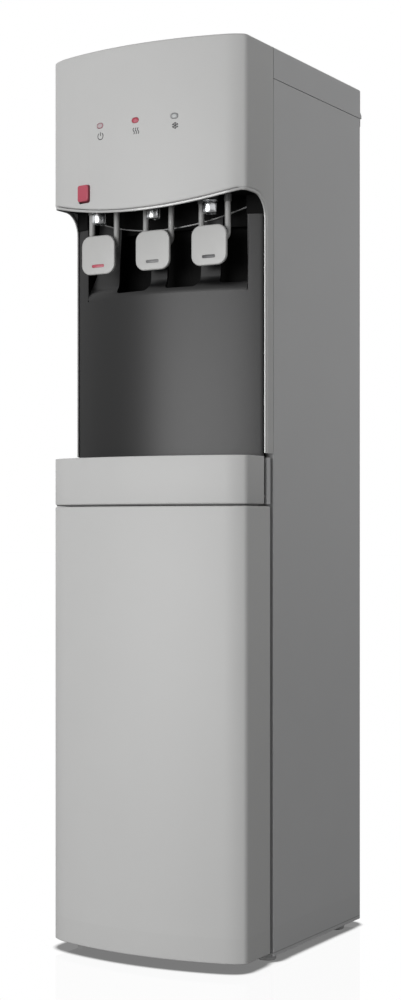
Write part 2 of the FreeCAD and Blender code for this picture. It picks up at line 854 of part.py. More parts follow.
def door_outer():
    """Bowed door skin with its sides, top and bottom flanges and the two hinge sockets."""
    outer = front_block(0, door_back, door_bottom, door_top)
    rims = rim_edges(outer, door_bottom, door_back) + rim_edges(outer, door_top, door_back)
    outer = outer.makeFillet(edge_round, rims)
    inner = front_block(shell_wall, door_back + overcut, door_bottom + shell_wall, door_top - shell_wall)
    sockets = [rod_z(hinge_x, hinge_depth, door_bottom, door_bottom + shell_wall + hinge_reach, hinge_boss),
               rod_z(hinge_x, hinge_depth, door_top - shell_wall - hinge_reach, door_top, hinge_boss)]
    skin = fuse([outer.cut(inner)] + sockets)
    pin_hole = rod_z(hinge_x, hinge_depth, door_bottom - overcut, door_top + overcut, hinge_radius + pin_play)
    return skin.cut(pin_hole)


def door_liner():
    """Flat inner plate of the door, with a raised panel for stiffness."""
    half = half_width - shell_wall - fit_gap
    low = door_bottom + shell_wall + fit_gap
    high = door_top - shell_wall - fit_gap
    back = door_back - liner_offset
    plate = box(-half, half, back - shell_wall, back, low, high)
    middle = (low + high) / 2
    height = high - low - 4 * bay_floor
    raised = rounded_slab(0, middle, half, height, corner_radius, back - 3 * shell_wall, back)
    hollow = rounded_slab(0, middle, half - 2 * shell_wall, height - 2 * shell_wall,
                          corner_radius - shell_wall, back - 2 * shell_wall, back + overcut)
    return fuse([plate, raised]).cut(hollow)


def hinge_pins():
    """Upper and lower door pins."""
    reach = shell_wall + hinge_reach - fit_gap
    low = rod_z(hinge_x, hinge_depth, foot_height, door_bottom + reach, hinge_radius)
    high = rod_z(hinge_x, hinge_depth, door_top - reach, shelf_top, hinge_radius)
    return group([low, high])


def hinge_bracket():
    """Tongue of the base pan that carries the lower pin under the door."""
    plate = box(flange + fit_gap - half_width, hinge_x + hinge_boss, hinge_depth, side_front + 2 * sheet,
                foot_height, pan_top)
    eye = rod_z(hinge_x, hinge_depth, foot_height, pan_top, hinge_boss)
    collar = rod_z(hinge_x, hinge_depth, foot_height, door_bottom - 2 * fit_gap, hinge_boss - overcut)
    hole = rod_z(hinge_x, hinge_depth, foot_height - overcut, door_bottom, hinge_radius)
    return fuse([plate, eye, collar]).cut(hole)


def door_magnet():
    """Magnet strip on the door's inner plate."""
    x = half_width - magnet_inset
    back = door_back - liner_offset
    return box(x - magnet_height / 2, x + magnet_height / 2, back, back + magnet_thickness,
               magnet_level - magnet_width / 2, magnet_level + magnet_width / 2)


def magnet_strike():
    """Steel angle on the filter bay's rim that the magnet closes against."""
    x = half_width - magnet_inset
    front = door_back - liner_offset + magnet_thickness + fit_gap
    face = box(x - magnet_height / 2, x + magnet_height / 2, front, front + sheet,
               magnet_level - magnet_width / 2, magnet_level + magnet_width / 2)
    leg = box(x - magnet_height / 2, x - magnet_height / 2 + sheet, front, side_front + sheet,
              magnet_level - magnet_width / 2, magnet_level + magnet_width / 2)
    return fuse([face, leg])


def base_pan():
    """Folded steel floor of the cabinet, with a tongue in front for the lower hinge pin."""
    half = inner_half
    rear = body_depth - 2 * sheet
    outer = box(-half, half, side_front + sheet, rear, foot_height, pan_top + pan_rim)
    inner = box(-half + sheet, half - sheet, side_front, rear + overcut, pan_top, pan_top + pan_rim + overcut)
    return fuse([outer.cut(inner), hinge_bracket()])


def feet():
    """Four round pads under the base pan."""
    side = half_width - foot_inset
    places = [(sign * side, d) for sign in (-1, 1)
              for d in (side_front + sheet + foot_radius, body_depth - foot_reach)]
    pads = []
    for x, depth in places:
        pad = rod_z(x, depth, 0, foot_height, foot_radius)
        pads.append(pad.makeChamfer(foot_chamfer, edges_at_height(pad, 0)))
    return group(pads)


def filter_bay():
    """Liner behind the door: a rim inside the side flanges and an open box for the filters."""
    front = side_front + sheet
    side = half_width - bay_rim
    rim = box(-inner_half, inner_half, front, front + liner_wall, pan_top + pan_rim,
              tank_shelf_level - 2 * sheet - flange)
    outer = box(-side, side, front, bay_back, bay_floor, bay_top)
    inner = box(-side + liner_wall, side - liner_wall, front - overcut, bay_back - liner_wall,
                bay_floor + liner_wall, bay_top - liner_wall)
    return fuse([rim, outer]).cut(inner)


def filter_places():
    """X of the three filters."""
    return [-filter_pitch, 0.0, filter_pitch]


def filter_manifold():
    """Rail on the back of the bay with three heads that the filters twist into."""
    back = bay_back - liner_wall
    top = filter_top + head_cap_height
    rail = box(-filter_pitch - head_radius, filter_pitch + head_radius, filter_depth, back,
               top - rail_height, top)
    heads = []
    for x in filter_places():
        head = rod_z(x, filter_depth, filter_top, top, head_radius)
        heads.append(head.makeFillet(head_cap_edge, edges_at_height(head, top)))
    sockets = [rod_z(x, filter_depth, filter_top - overcut, filter_top + filter_neck_height + fit_gap,
                     filter_neck_radius + pin_play) for x in filter_places()]
    return fuse([rail] + heads).cut(group(sockets))


def filter_cartridge(x):
    """Twist-in filter: round body with a domed foot and grip ribs, and a neck for the head."""
    foot = filter_top - filter_length
    body = can(x, filter_depth, foot, filter_top - fit_gap, filter_radius, filter_edge)
    neck = rod_z(x, filter_depth, filter_top - filter_length / 2, filter_top + filter_neck_height,
                 filter_neck_radius)
    ribs = []
    for i in range(rib_count):
        rib = rod_z(x + filter_radius, filter_depth, foot + rib_lift, foot + filter_length / 6, rib_radius)
        rib.rotate(Vector(x, y_of(filter_depth), 0), Vector(0, 0, 1), 360 * i / rib_count)
        ribs.append(rib)
    return fuse([body, neck] + ribs)


def compressor():
    """Hermetic compressor: two drawn shells with a welded flange round the motor, on a foot plate."""
    low = compressor_foot
    high = compressor_top
    x = compressor_offset
    depth = compressor_depth
    shell = can(x, depth, low, high, compressor_radius, compressor_edge)
    middle = (low + high) / 2
    lip = rod_z(x, depth, middle - seam_half, middle + seam_half, compressor_radius + seam_lip)
    plate = rounded_plate(x, depth, mount_spread + mount_radius, low, plate_thickness)
    belly = rod_z(x, depth, low, low + compressor_edge, compressor_radius - belly_inset)
    room = rod_z(x, depth, low + motor_inset, high - motor_inset, compressor_radius - compressor_wall)
    motor = rod_z(x, depth, low, high, motor_share * compressor_radius)
    return fuse([shell, lip, plate, belly]).cut(room.cut(motor))


def rounded_plate(x, depth, half, z, thickness):
    """A square plate with round corners, lying flat."""
    plate = box(x - half, x + half, depth - half, depth + half, z, z + thickness)
    return plate.makeFillet(mount_radius, edges_along(plate, Vector(0, 0, 1)))


def compressor_mounts():
    """Four rubber feet between the base pan and the compressor plate."""
    return group([rod_z(compressor_offset + sx * mount_spread, compressor_depth + sy * mount_spread, pan_top,
                        pan_top + mount_height, mount_radius) for sx in (-1, 1) for sy in (-1, 1)])


def relay_cover():
    """Cover over the compressor's terminals and start relay."""
    x = compressor_offset + compressor_radius
    level = compressor_foot + relay_rise
    block = box(x - compressor_edge / 2, x + relay_reach, compressor_depth - relay_width / 2,
                compressor_depth + relay_width / 2, level - relay_height / 2, level + relay_height / 2)
    block = block.makeFillet(box_corner, edges_along(block, Vector(1, 0, 0)))
    return block.cut(compressor())


def filter_drier():
    """Copper drier in the refrigerant line, standing beside the compressor on its plate."""
    x = compressor_offset + compressor_radius + relay_reach + drier_radius + 4 * fit_gap
    depth = compressor_depth + compressor_radius - drier_radius
    low = pan_top
    shell = can(x, depth, low + drier_radius, low + drier_length, drier_radius, drier_edge)
    tail = rod_z(x, depth, low, low + drier_length + drier_radius, condenser_tube)
    return fuse([shell, tail])


def condenser_tube_coil():
    """Black serpentine tube behind the back plate, one unbroken run of level passes and half turns."""
    pitch = (condenser_head - condenser_foot) / (condenser_runs - 1)
    bend = pitch / 2
    side = condenser_half_width - bend
    depth = y_of(body_depth + condenser_gap)
    edges = []
    for i in range(condenser_runs):
        z = condenser_foot + i * pitch
        sign = 1 if i % 2 == 0 else -1
        edges.append(Part.makeLine(Vector(-sign * side, depth, z), Vector(sign * side, depth, z)))
        if i < condenser_runs - 1:
            turn = Part.Arc(Vector(sign * side, depth, z), Vector(sign * (side + bend), depth, z + bend),
                            Vector(sign * side, depth, z + pitch))
            edges.append(turn.toShape())
    start = Vector(-side, depth, condenser_foot)
    section = Part.Wire(Part.makeCircle(condenser_tube, start, Vector(1, 0, 0)))
    return Part.Wire(edges).makePipeShell([section], True, False)


def condenser_wires():
    """Upright wires on both sides of the serpentine, welded to every pass."""
    pitch = (condenser_head - condenser_foot) / (condenser_runs - 1)
    side = condenser_half_width - pitch / 2
    step = 2 * side / (wire_count + 1)
    centre = body_depth + condenser_gap
    wires = []
    for i in range(wire_count):
        x = (i + 1) * step - side
        for front in (centre - condenser_tube - condenser_wire, centre + condenser_tube):
            wires.append(box(x - condenser_wire / 2, x + condenser_wire / 2, front, front + condenser_wire,
                             condenser_foot - pitch / 4, condenser_head + pitch / 4))
    return wires


def condenser_clips():
    """Four folded clips that hold the condenser off the rear flanges."""
    pitch = (condenser_head - condenser_foot) / (condenser_runs - 1)
    centre = body_depth + condenser_gap
    near = condenser_half_width - pitch / 2
    far = inner_half - clip_inset
    inside = near - overcut
    outside = far + overcut
    grip = condenser_tube + pin_play
    clips = []
    for sign in (-1, 1):
        for i in (1, condenser_runs - 2):
            z = condenser_foot + i * pitch
            clip = box(near, far, body_depth, centre + condenser_tube, z - clip_width / 2, z + clip_width / 2)
            hollow = box(inside, half_width - flange, body_depth - overcut,
                         centre - condenser_tube - 2 * condenser_wire, z - clip_width, z + clip_width)
            bore = rod_x(inside, outside, centre, z, grip)
            mouth = box(inside, outside, centre, centre + 2 * condenser_tube, z - grip, z + grip)
            clip = clip.cut(hollow).cut(bore).cut(mouth).cut(bend_clearance(z, pitch))
            clips.append(clip if sign > 0 else clip.mirror(Vector(0, 0, 0), Vector(1, 0, 0)))
    return clips


def bend_clearance(z, pitch):
    """Room in a right-hand clip for the half turn that leaves its pass."""
    centre = body_depth + condenser_gap
    bend = pitch / 2
    side = condenser_half_width - bend
    room = condenser_tube + fit_gap
    rings = [Part.makeTorus(bend, room, Vector(side, y_of(centre), z + lift), Vector(0, 1, 0))
             for lift in (-bend, bend)]
    return fuse(rings)


def tank_shelf():
    """Folded steel shelf over the filter bay that carries the hot tank and the tray housing."""
    rear = body_depth - 2 * sheet
    low = tank_shelf_level - 2 * sheet
    plate = box(-inner_half, inner_half, side_front + sheet, rear, low, tank_shelf_level)
    tongue = box(-half_width + bay_rim, half_width - bay_rim, housing_back, side_front + 2 * sheet, low,
                 tank_shelf_level)
    lip = box(-half_width + bay_rim, half_width - bay_rim, housing_back, housing_back + sheet, low,
              tank_shelf_level + flange)
    sides = [box(x, x + sheet, side_front + sheet, rear, low - flange, low + sheet)
             for x in (-inner_half, inner_half - sheet)]
    return fuse([plate, tongue, lip] + sides)


def tank_stand():
    """Folded bridge between the side panels that carries the cold tank."""
    reach = cold_tank_radius + jacket_wall
    low = stand_level - sheet
    front = tank_depth - reach
    rear = tank_depth + reach
    outer = box(-inner_half, inner_half, front, rear, low - 2 * flange, stand_level)
    inner = box(-inner_half + sheet, inner_half - sheet, front - overcut, rear + overcut,
                low - 2 * flange - overcut, low)
    return outer.cut(inner)


def tank(level, radius, height):
    """Steel tank with rounded ends, a ring foot and two pipe stubs on its crown."""
    base = level + tank_foot_height
    top = level + height
    body = can(0, tank_depth, base, top, radius, tank_edge)
    foot = rod_z(0, tank_depth, level, base + tank_wall, radius - tank_foot_inset)
    ports = [rod_z(sign * tank_port_offset, tank_depth, top - tank_port_root, top + tank_port_height,
                   tank_port_radius) for sign in (-1, 1)]
    hollow = can(0, tank_depth, base + tank_wall, top - tank_wall, radius - tank_wall, tank_edge - tank_wall)
    return fuse([body, foot] + ports).cut(hollow)


def tank_jacket(level, radius, height):
    """Foam sleeve round a tank."""
    inner = radius + fit_gap
    return rod_z(0, tank_depth, level, level + height - tank_edge, inner + jacket_wall).cut(
        rod_z(0, tank_depth, level - overcut, level + height, inner))


def hose(points):
    """Tube along straight runs joined by round bends."""
    corners = [Vector(x, y_of(depth), z) for x, depth, z in points]
    edges = []
    start = corners[0]
    for before, corner, after in zip(corners, corners[1:], corners[2:]):
        back = (before - corner).normalize()
        ahead = (after - corner).normalize()
        opening = back.getAngle(ahead) / 2
        leg = hose_bend / math.tan(opening)
        bisector = (back + ahead).normalize()
        middle = corner + bisector * (hose_bend / math.sin(opening) - hose_bend)
        edges.append(Part.makeLine(start, corner + back * leg))
        edges.append(Part.Arc(corner + back * leg, middle, corner + ahead * leg).toShape())
        start = corner + ahead * leg
    edges.append(Part.makeLine(start, corners[-1]))
    section = Part.Wire(Part.makeCircle(hose_radius, corners[0], corners[1] - corners[0]))
    return Part.Wire(edges).makePipeShell([section], True, False)


def tap_hoses():
    """Hoses from the tap barbs: hot and cold to their tanks, the middle one to the tank shelf."""
    barb_end = pivot_depth + pin_radius + shell_wall + barb_length
    level = deck_top + barb_rise
    front = tank_front - 2 * hose_radius
    port = tank_port_offset
    cold_port = stand_level + cold_tank_height + tank_port_height
    hot_port = tank_shelf_level + hot_tank_height + tank_port_height
    over = hot_port + hose_rise
    cold = hose([(tap_pitch, barb_end, level), (tap_pitch, tank_depth, level), (port, tank_depth, level),
                 (port, tank_depth, cold_port)])
    hot = hose([(-tap_pitch, barb_end, level), (-tap_pitch, front, level), (-tap_pitch, front, over),
                (-port, front, over), (-port, tank_depth, over), (-port, tank_depth, hot_port)])
    middle = hose([(0, barb_end, level), (0, front, level), (0, front, tank_shelf_level)])
    return group([hot, middle, cold])


def control_box():
    """Closed box on the inside of the back plate for the mains parts, behind the switches."""
    rear = body_depth - 2 * sheet
    outer = rounded_slab(0, switch_level, box_width, box_height, box_corner, rear - box_reach, rear)
    width = switch_width + 2 * fit_gap
    height = 2 * (switch_radius + fit_gap)
    floor = rear - switch_radius - liner_wall
    slots = [rounded_slab(x, switch_level, width, height, slot_corner, floor, rear + overcut)
             for x in switch_places()]
    return outer.cut(group(slots))


def switch_places():
    """X of the two rocker switches."""
    return [-box_width / 4, box_width / 4]


def rocker(x):
    """Rocker of a mains switch: a round-backed key with a dished face, turned on its own axis."""
    key = rod_x(x - switch_width / 2 + fit_gap, x + switch_width / 2 - fit_gap, body_depth, switch_level,
                switch_radius - fit_gap)
    left = x - switch_width
    right = x + switch_width
    dish = rod_x(left, right, body_depth + dish_reach, switch_level, dish_radius)
    back = box(left, right, body_depth - 2 * switch_radius, body_depth - switch_radius / 2,
               switch_level - 2 * switch_radius, switch_level + 2 * switch_radius)
    key = key.cut(dish).cut(back)
    key.rotate(Vector(x, y_of(body_depth), switch_level), Vector(1, 0, 0), -switch_throw / 2)
    return key


def switch_bezel():
    """Frame round the two rockers on the outside of the back plate."""
    width = box_width / 2 + switch_width + 2 * switch_frame + 2 * fit_gap
    height = 2 * (switch_radius + fit_gap + switch_frame)
    frame = rounded_slab(0, switch_level, width, height, switch_frame, body_depth - sheet, body_depth + sheet)
    windows = [box(x - switch_width / 2 - fit_gap, x + switch_width / 2 + fit_gap, body_depth - 2 * sheet,
                   body_depth + 2 * sheet, switch_level - switch_radius - fit_gap,
                   switch_level + switch_radius + fit_gap) for x in switch_places()]
    return frame.cut(group(windows))


def water_inlet():
    """Push-in connector for the supply tube, clamped in the back plate by its collar."""
    rear = body_depth - sheet
    barrel = rod_y(fitting_pitch, rear - inlet_bore_length, rear + inlet_proud, fitting_level, inlet_radius)
    collar = rod_y(fitting_pitch, rear, rear + liner_wall, fitting_level, inlet_collar)
    tip = rear + inlet_proud
    bore = rod_y(fitting_pitch, tip - inlet_bore_length, tip + overcut, fitting_level, inlet_bore)
    return fuse([barrel, collar]).cut(bore)


def cord_gland():
    """Grommet where a mains lead enters the back plate."""
    rear = body_depth - sheet
    nose = Part.makeCone(gland_radius, gland_tip_radius, gland_proud,
                         Vector(-fitting_pitch, y_of(rear), fitting_level), Vector(0, 1, 0))
    neck = rod_y(-fitting_pitch, rear - gland_neck, rear, fitting_level, gland_radius - liner_wall)
    bore = rod_y(-fitting_pitch, rear - gland_neck - overcut, rear + gland_proud + overcut, fitting_level,
                 gland_bore)
    return fuse([nose, neck]).cut(bore)


def drain_spout():
    """Drain stub of the tanks in the back plate."""
    rear = body_depth - sheet
    stub = rod_y(0, rear - drain_reach, rear + drain_proud, fitting_level, drain_radius)
    collar = rod_y(0, rear, rear + liner_wall, fitting_level, drain_cap_radius)
    bore = rod_y(0, rear, rear + drain_proud + overcut, fitting_level, drain_radius - liner_wall)
    return fuse([stub, collar]).cut(bore)


def drain_cap():
    """Ribbed screw cap over the drain stub."""
    rear = body_depth - sheet + liner_wall + fit_gap
    radius = drain_cap_radius - cap_rib_radius
    cap = rod_y(0, rear, rear + drain_cap_height, fitting_level, radius)
    ribs = []
    for i in range(rib_count):
        rib = rod_y(radius, rear, rear + drain_cap_height, fitting_level, cap_rib_radius)
        rib.rotate(Vector(0, y_of(rear), fitting_level), Vector(0, 1, 0), 360 * i / rib_count)
        ribs.append(rib)
    socket = rod_y(0, rear - overcut, rear + drain_proud - liner_wall, fitting_level, drain_radius + pin_play)
    return fuse([cap] + ribs).cut(socket)


def back_screws():
    """Pan-head screws through the rear flanges into the back plate."""
    x = half_width - flange / 2 - sheet / 2
    levels = [pan_top + pan_rim, (pan_top + cap_foot) / 2, cap_foot - 2 * grip_height - flange]
    screws = []
    for sign in (-1, 1):
        for z in levels:
            head = rod_y(sign * x, body_depth, body_depth + screw_head, z, screw_radius)
            screws.append(head)
    return group(screws)


def build():
    """Every node's shape by its name."""
    nodes = {
        "head_fascia": head_fascia(),
        "top_cover": top_cover(),
        "rear_grip": rear_grip(),
        "left_side_panel": side_panel(-1),
        "right_side_panel": side_panel(1),
        "back_plate": back_plate(),
        "base_pan": base_pan(),
        "feet": feet(),
        "tap_deck": tap_deck(),
        "recess_panel": recess_panel(),
        "alcove_liner": alcove_liner(),
        "tray_housing": tray_housing(),
        "drip_tray": drip_tray(),
        "drip_grille": drip_grille(),
        "door_outer": door_outer(),
        "door_liner": door_liner(),
        "door_magnet": door_magnet(),
        "magnet_strike": magnet_strike(),
        "hinge_pins": hinge_pins(),
        "lamp_board": lamp_board(),
        "lock_button": lock_button(),
        "filter_bay": filter_bay(),
        "filter_manifold": filter_manifold(),
        "compressor": compressor(),
        "compressor_mounts": compressor_mounts(),
        "relay_cover": relay_cover(),
        "filter_drier": filter_drier(),
        "condenser": group([condenser_tube_coil()] + condenser_wires() + condenser_clips()),
        "tank_shelf": tank_shelf(),
        "tank_stand": tank_stand(),
        "hot_tank": tank(tank_shelf_level, hot_tank_radius, hot_tank_height),
        "hot_tank_jacket": tank_jacket(tank_shelf_level, hot_tank_radius, hot_tank_height),
        "cold_tank": tank(stand_level, cold_tank_radius, cold_tank_height),
        "cold_tank_jacket": tank_jacket(stand_level, cold_tank_radius, cold_tank_height),
        "tap_hoses": tap_hoses(),
        "control_box": control_box(),
        "switch_bezel": switch_bezel(),
        "water_inlet": water_inlet(),
        "cord_gland": cord_gland(),
        "drain_spout": drain_spout(),
        "drain_cap": drain_cap(),
        "back_screws": back_screws(),
        "lever_pins": group([lever_pin(x) for x in tap_names.values()]),
        "tap_bodies": group([tap_body(x) for x in tap_names.values()]),
        "nozzles": group([nozzle(x) for x in tap_names.values()]),
    }
    for name, x in tap_names.items():
        nodes[name + "_lever"] = lever(x)
        nodes[name + "_paddle"] = paddle(x)
    for name, x in zip(("power", "heating", "cooling"), lamp_places()):
        nodes[name + "_lamp"] = lamp_lens(x)
    for name, x in zip(("first", "second", "third"), filter_places()):
        nodes[name + "_filter"] = filter_cartridge(x)
    for name, x in zip(("cold", "hot"), switch_places()):
        nodes[name + "_switch"] = rocker(x)
    return nodes


os.makedirs("parts", exist_ok=True)
for node, shape in build().items():
    shape.exportStep("parts/" + node + ".step")
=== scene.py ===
import logging
import math
from dataclasses import dataclass
from enum import Enum
from typing import Callable, Optional, Sequence, Union

import bpy
from mathutils import Matrix, Vector


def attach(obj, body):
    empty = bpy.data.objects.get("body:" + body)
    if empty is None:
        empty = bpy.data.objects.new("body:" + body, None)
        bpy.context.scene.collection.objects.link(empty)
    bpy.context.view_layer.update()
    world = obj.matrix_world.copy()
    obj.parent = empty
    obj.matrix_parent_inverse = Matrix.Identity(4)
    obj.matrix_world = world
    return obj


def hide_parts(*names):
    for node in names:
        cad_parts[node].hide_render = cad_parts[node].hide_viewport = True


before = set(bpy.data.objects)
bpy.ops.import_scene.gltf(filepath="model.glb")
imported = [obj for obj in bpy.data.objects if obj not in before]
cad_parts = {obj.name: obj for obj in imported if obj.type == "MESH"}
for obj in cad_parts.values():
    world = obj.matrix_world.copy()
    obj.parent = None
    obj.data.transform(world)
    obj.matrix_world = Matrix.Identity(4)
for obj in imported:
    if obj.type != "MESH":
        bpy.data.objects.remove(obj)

LOG = logging.getLogger("water_cooler")

MM = 0.001
# Millimetres: from the front bow to the frame's middle, within which two places are one,
# by which a cutter runs past what it cuts, by which an oval's ends stay under a half circle,
# and a width greater than the cooler's.
HALF_DEPTH = 172.05
TOUCH = 0.02
SPARE = 5.0
OVAL = 0.01
WIDE = 300.0
# Degrees above which an edge is shaded sharp, on most pieces and on round ones.
CREASE = 32.0
ROUND_CREASE = 40.0
UP = Vector((0, 0, 1))
RIGHT = Vector((1, 0, 0))
BACK = Vector((0, 1, 0))
WHITE = (1.0, 1.0, 1.0, 1.0)

Piece = bpy.types.Object
Pair = tuple[float, float]
Triple = tuple[float, float, float]
Colour = tuple[float, float, float]
Test = Callable[[Vector], bool]


def at(x: float, depth: float, z: float) -> Vector:
    """A point in metres, from millimetres across, back from the front bow, and up."""
    return Vector((x * MM, (depth - HALF_DEPTH) * MM, z * MM))


def depth_of(point: Vector) -> float:
    """Millimetres that a point lies behind the front bow."""
    return point.y / MM + HALF_DEPTH


class Body(Enum):
    """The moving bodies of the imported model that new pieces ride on."""

    CABINET = "cabinet"
    TRAY = "tray"
    GRILLE = "grille"
    DOOR = "door"
    LOCK = "lock_push"
    HOT = "hot_tap_lever"
    AMBIENT = "ambient_tap_lever"
    COLD = "cold_tap_lever"


class Operation(Enum):
    """What a second solid does to the first."""

    CUT = "DIFFERENCE"
    KEEP = "INTERSECT"
    ADD = "UNION"


class Kind(Enum):
    """What a selection is made of, as Blender's select modes."""

    VERTICES = (True, False, False)
    EDGES = (False, True, False)


@dataclass(frozen=True)
class Line:
    """A straight stroke to a point."""

    to: Vector


@dataclass(frozen=True)
class Arc:
    """A round stroke about a centre, anticlockwise about the axis."""

    centre: Vector
    degrees: float
    steps: int
    axis: Vector


Stroke = Union[Line, Arc]


class Bench:
    """Hand tools: each method is one step of modelling with Blender's operators."""

    @staticmethod
    def clear() -> None:
        """Leaves edit mode and deselects everything."""
        if bpy.context.object is not None and bpy.context.object.mode != "OBJECT":
            bpy.ops.object.mode_set(mode="OBJECT")
        bpy.ops.object.select_all(action="DESELECT")

    @staticmethod
    def take(piece: Piece) -> None:
        """Makes a piece the only one selected, and active.

        Args:
            piece: The piece.
        """
        Bench.clear()
        piece.select_set(True)
        bpy.context.view_layer.objects.active = piece

    @staticmethod
    def edit(piece: Piece) -> None:
        """Takes a piece into edit mode with all of its mesh selected.

        Args:
            piece: The piece.
        """
        Bench.take(piece)
        bpy.ops.object.mode_set(mode="EDIT")
        bpy.ops.mesh.select_all(action="SELECT")

    @staticmethod
    def call(piece: Piece, name: str) -> Piece:
        """Names a piece and its mesh alike."""
        piece.name = piece.data.name = name
        return piece

    @staticmethod
    def sweep(start: Vector, strokes: Sequence[Stroke]) -> None:
        """Carries what is selected along strokes, by extruding and spinning.

        Args:
            start: Where the pen stands.
            strokes: The lines and arcs to follow.
        """
        pen = start.copy()
        for stroke in strokes:
            if isinstance(stroke, Line):
                bpy.ops.mesh.extrude_region_move(TRANSFORM_OT_translate={"value": stroke.to - pen})
                pen = stroke.to.copy()
            else:
                angle = math.radians(stroke.degrees)
                bpy.ops.mesh.spin(steps=stroke.steps, angle=angle, center=stroke.centre, axis=-stroke.axis)
                pen = stroke.centre + Matrix.Rotation(angle, 3, stroke.axis) @ (pen - stroke.centre)

    @staticmethod
    def ring(points: Sequence[Vector]) -> list[Stroke]:
        """Straight strokes from the first of some points through the others and back."""
        return [Line(point) for point in [*points[1:], points[0]]]

    @staticmethod
    def outline(name: str, start: Vector, strokes: Sequence[Stroke]) -> Piece:
        """Draws a closed outline from one vertex and stays in edit mode with all of it selected.

        Args:
            name: Name of the new piece.
            start: First point, where the last stroke ends too.
            strokes: The lines and arcs to follow.

        Returns:
            The new object.
        """
        Bench.clear()
        bpy.ops.mesh.primitive_plane_add(size=MM, location=(0, 0, 0))
        piece = Bench.call(bpy.context.object, name)
        bpy.context.tool_settings.mesh_select_mode = Kind.VERTICES.value
        Bench.edit(piece)
        bpy.ops.mesh.merge(type="CENTER")
        bpy.ops.transform.translate(value=start)
        Bench.sweep(start, strokes)
        bpy.ops.mesh.select_all(action="SELECT")
        bpy.ops.mesh.remove_doubles(threshold=TOUCH * MM)
        return piece

    @staticmethod
    def close(piece: Piece) -> Piece:
        """Merges doubles, turns all faces outwards and leaves edit mode.

        Args:
            piece: The piece in edit mode.

        Returns:
            The same piece.
        """
        bpy.ops.mesh.select_all(action="SELECT")
        bpy.ops.mesh.remove_doubles(threshold=TOUCH * MM / 4)
        bpy.ops.mesh.normals_make_consistent(inside=False)
        bpy.ops.object.mode_set(mode="OBJECT")
        return piece

    @staticmethod
    def prism(name: str, start: Vector, strokes: Sequence[Stroke], along: Vector) -> Piece:
        """Fills an outline and extrudes it to a solid.

        Args:
            name: Name of the new piece.
            start: First point of the outline.
            strokes: The lines and arcs to follow, back to the start.
            along: How far the outline is extruded, in metres.

        Returns:
            The closed solid, in object mode.
        """
        piece = Bench.outline(name, start, strokes)
        bpy.ops.mesh.edge_face_add()
        bpy.ops.mesh.extrude_region_move(TRANSFORM_OT_translate={"value": along})
        return Bench.close(piece)

    @staticmethod
    def lathe(name: str, place: Pair, profile: Sequence[Pair], steps: int) -> Piece:
        """Turns a closed profile about an upright axis.

        Args:
            name: Name of the new piece.
            place: Place of the axis across and back from the bow, in millimetres.
            profile: Radius and height pairs, in millimetres.
            steps: Steps of the full turn.

        Returns:
            The turned solid, in object mode.
        """
        x, depth = place
        points = [at(x + radius, depth, height) for radius, height in profile]
        piece = Bench.outline(name, points[0], Bench.ring(points))
        bpy.ops.mesh.spin(steps=steps, angle=math.tau, center=at(x, depth, 0), axis=UP)
        return Bench.close(piece)

    @staticmethod
    def rod(name: str, place: Pair, inner: float, outer: float, low: float, high: float, steps: int) -> Piece:
        """A plain turned rod, or a ring where its inner radius isn't nought."""
        return Bench.lathe(name, place, [(inner, low), (outer, low), (outer, high), (inner, high)], steps)

    @staticmethod
    def sector(name: str, start: Vector, strokes: Sequence[Stroke], centre: Vector, half: float,
               steps: int) -> Piece:
        """Turns a closed upright outline about an upright axis, as far to the left as to the right.

        Args:
            name: Name of the new piece.
            start: First point of the outline, in the middle plane.
            strokes: The lines and arcs to follow, back to the start.
            centre: A point on the axis.
            half: Degrees to each side.
            steps: Steps of the whole turn.

        Returns:
            The closed solid, in object mode.
        """
        piece = Bench.outline(name, start, strokes)
        Bench.turn(piece, -half, centre)
        Bench.edit(piece)
        bpy.ops.mesh.spin(steps=steps, angle=math.radians(2 * half), center=centre, axis=-UP)
        bpy.ops.mesh.select_all(action="SELECT")
        bpy.ops.mesh.fill_holes(sides=0)
        return Bench.close(piece)

    @staticmethod
    def slab(name: str, x: float, z: float, width: float, height: float, corner: float, front: float,
             rear: float, steps: int = 8) -> Piece:
        """A plate with rounded corners that faces the front, in millimetres.

        Args:
            name: Name of the new piece.
            x: Middle of the plate across.
            z: Middle of the plate up.
            width: Size across.
            height: Size up.
            corner: Radius of its corners.
            front: Depth of its front face.
            rear: Depth of its rear face.
            steps: Steps of each corner.

        Returns:
            The closed solid.
        """
        half, tall = width / 2, height / 2
        left, right = x - half + corner, x + half - corner
        low, high = z - tall + corner, z + tall - corner
        strokes: list[Stroke] = []
        for middle, end in (((left, low), (right, z - tall)), ((right, low), (x + half, high)),
                            ((right, high), (left, z + tall)), ((left, high), (x - half, low))):
            strokes.append(Arc(at(middle[0], front, middle[1]), 90, steps, -BACK))
            strokes.append(Line(at(end[0], front, end[1])))
        return Bench.prism(name, at(x - half, front, low), strokes, BACK * (rear - front) * MM)

    @staticmethod
    def bevel(piece: Piece, test: Test, width: float, segments: int) -> None:
        """Rounds the edges that pass a test at both ends.

        Args:
            piece: The piece to work on.
            test: Told a place in metres, says whether it belongs.
            width: Width of the rounding, in millimetres.
            segments: Steps of the rounding.
        """
        Bench.take(piece)
        mesh = piece.data
        chosen = [test(vertex.co) for vertex in mesh.vertices]
        for face in mesh.polygons:
            face.select = False
        for edge in mesh.edges:
            edge.select = chosen[edge.vertices[0]] and chosen[edge.vertices[1]]
        held = {index for edge in mesh.edges if edge.select for index in edge.vertices}
        for vertex in mesh.vertices:
            vertex.select = vertex.index in held
        bpy.context.tool_settings.mesh_select_mode = Kind.EDGES.value
        bpy.ops.object.mode_set(mode="EDIT")
        bpy.ops.mesh.bevel(offset=width * MM, segments=segments, affect="EDGES", profile=0.5)
        bpy.ops.object.mode_set(mode="OBJECT")

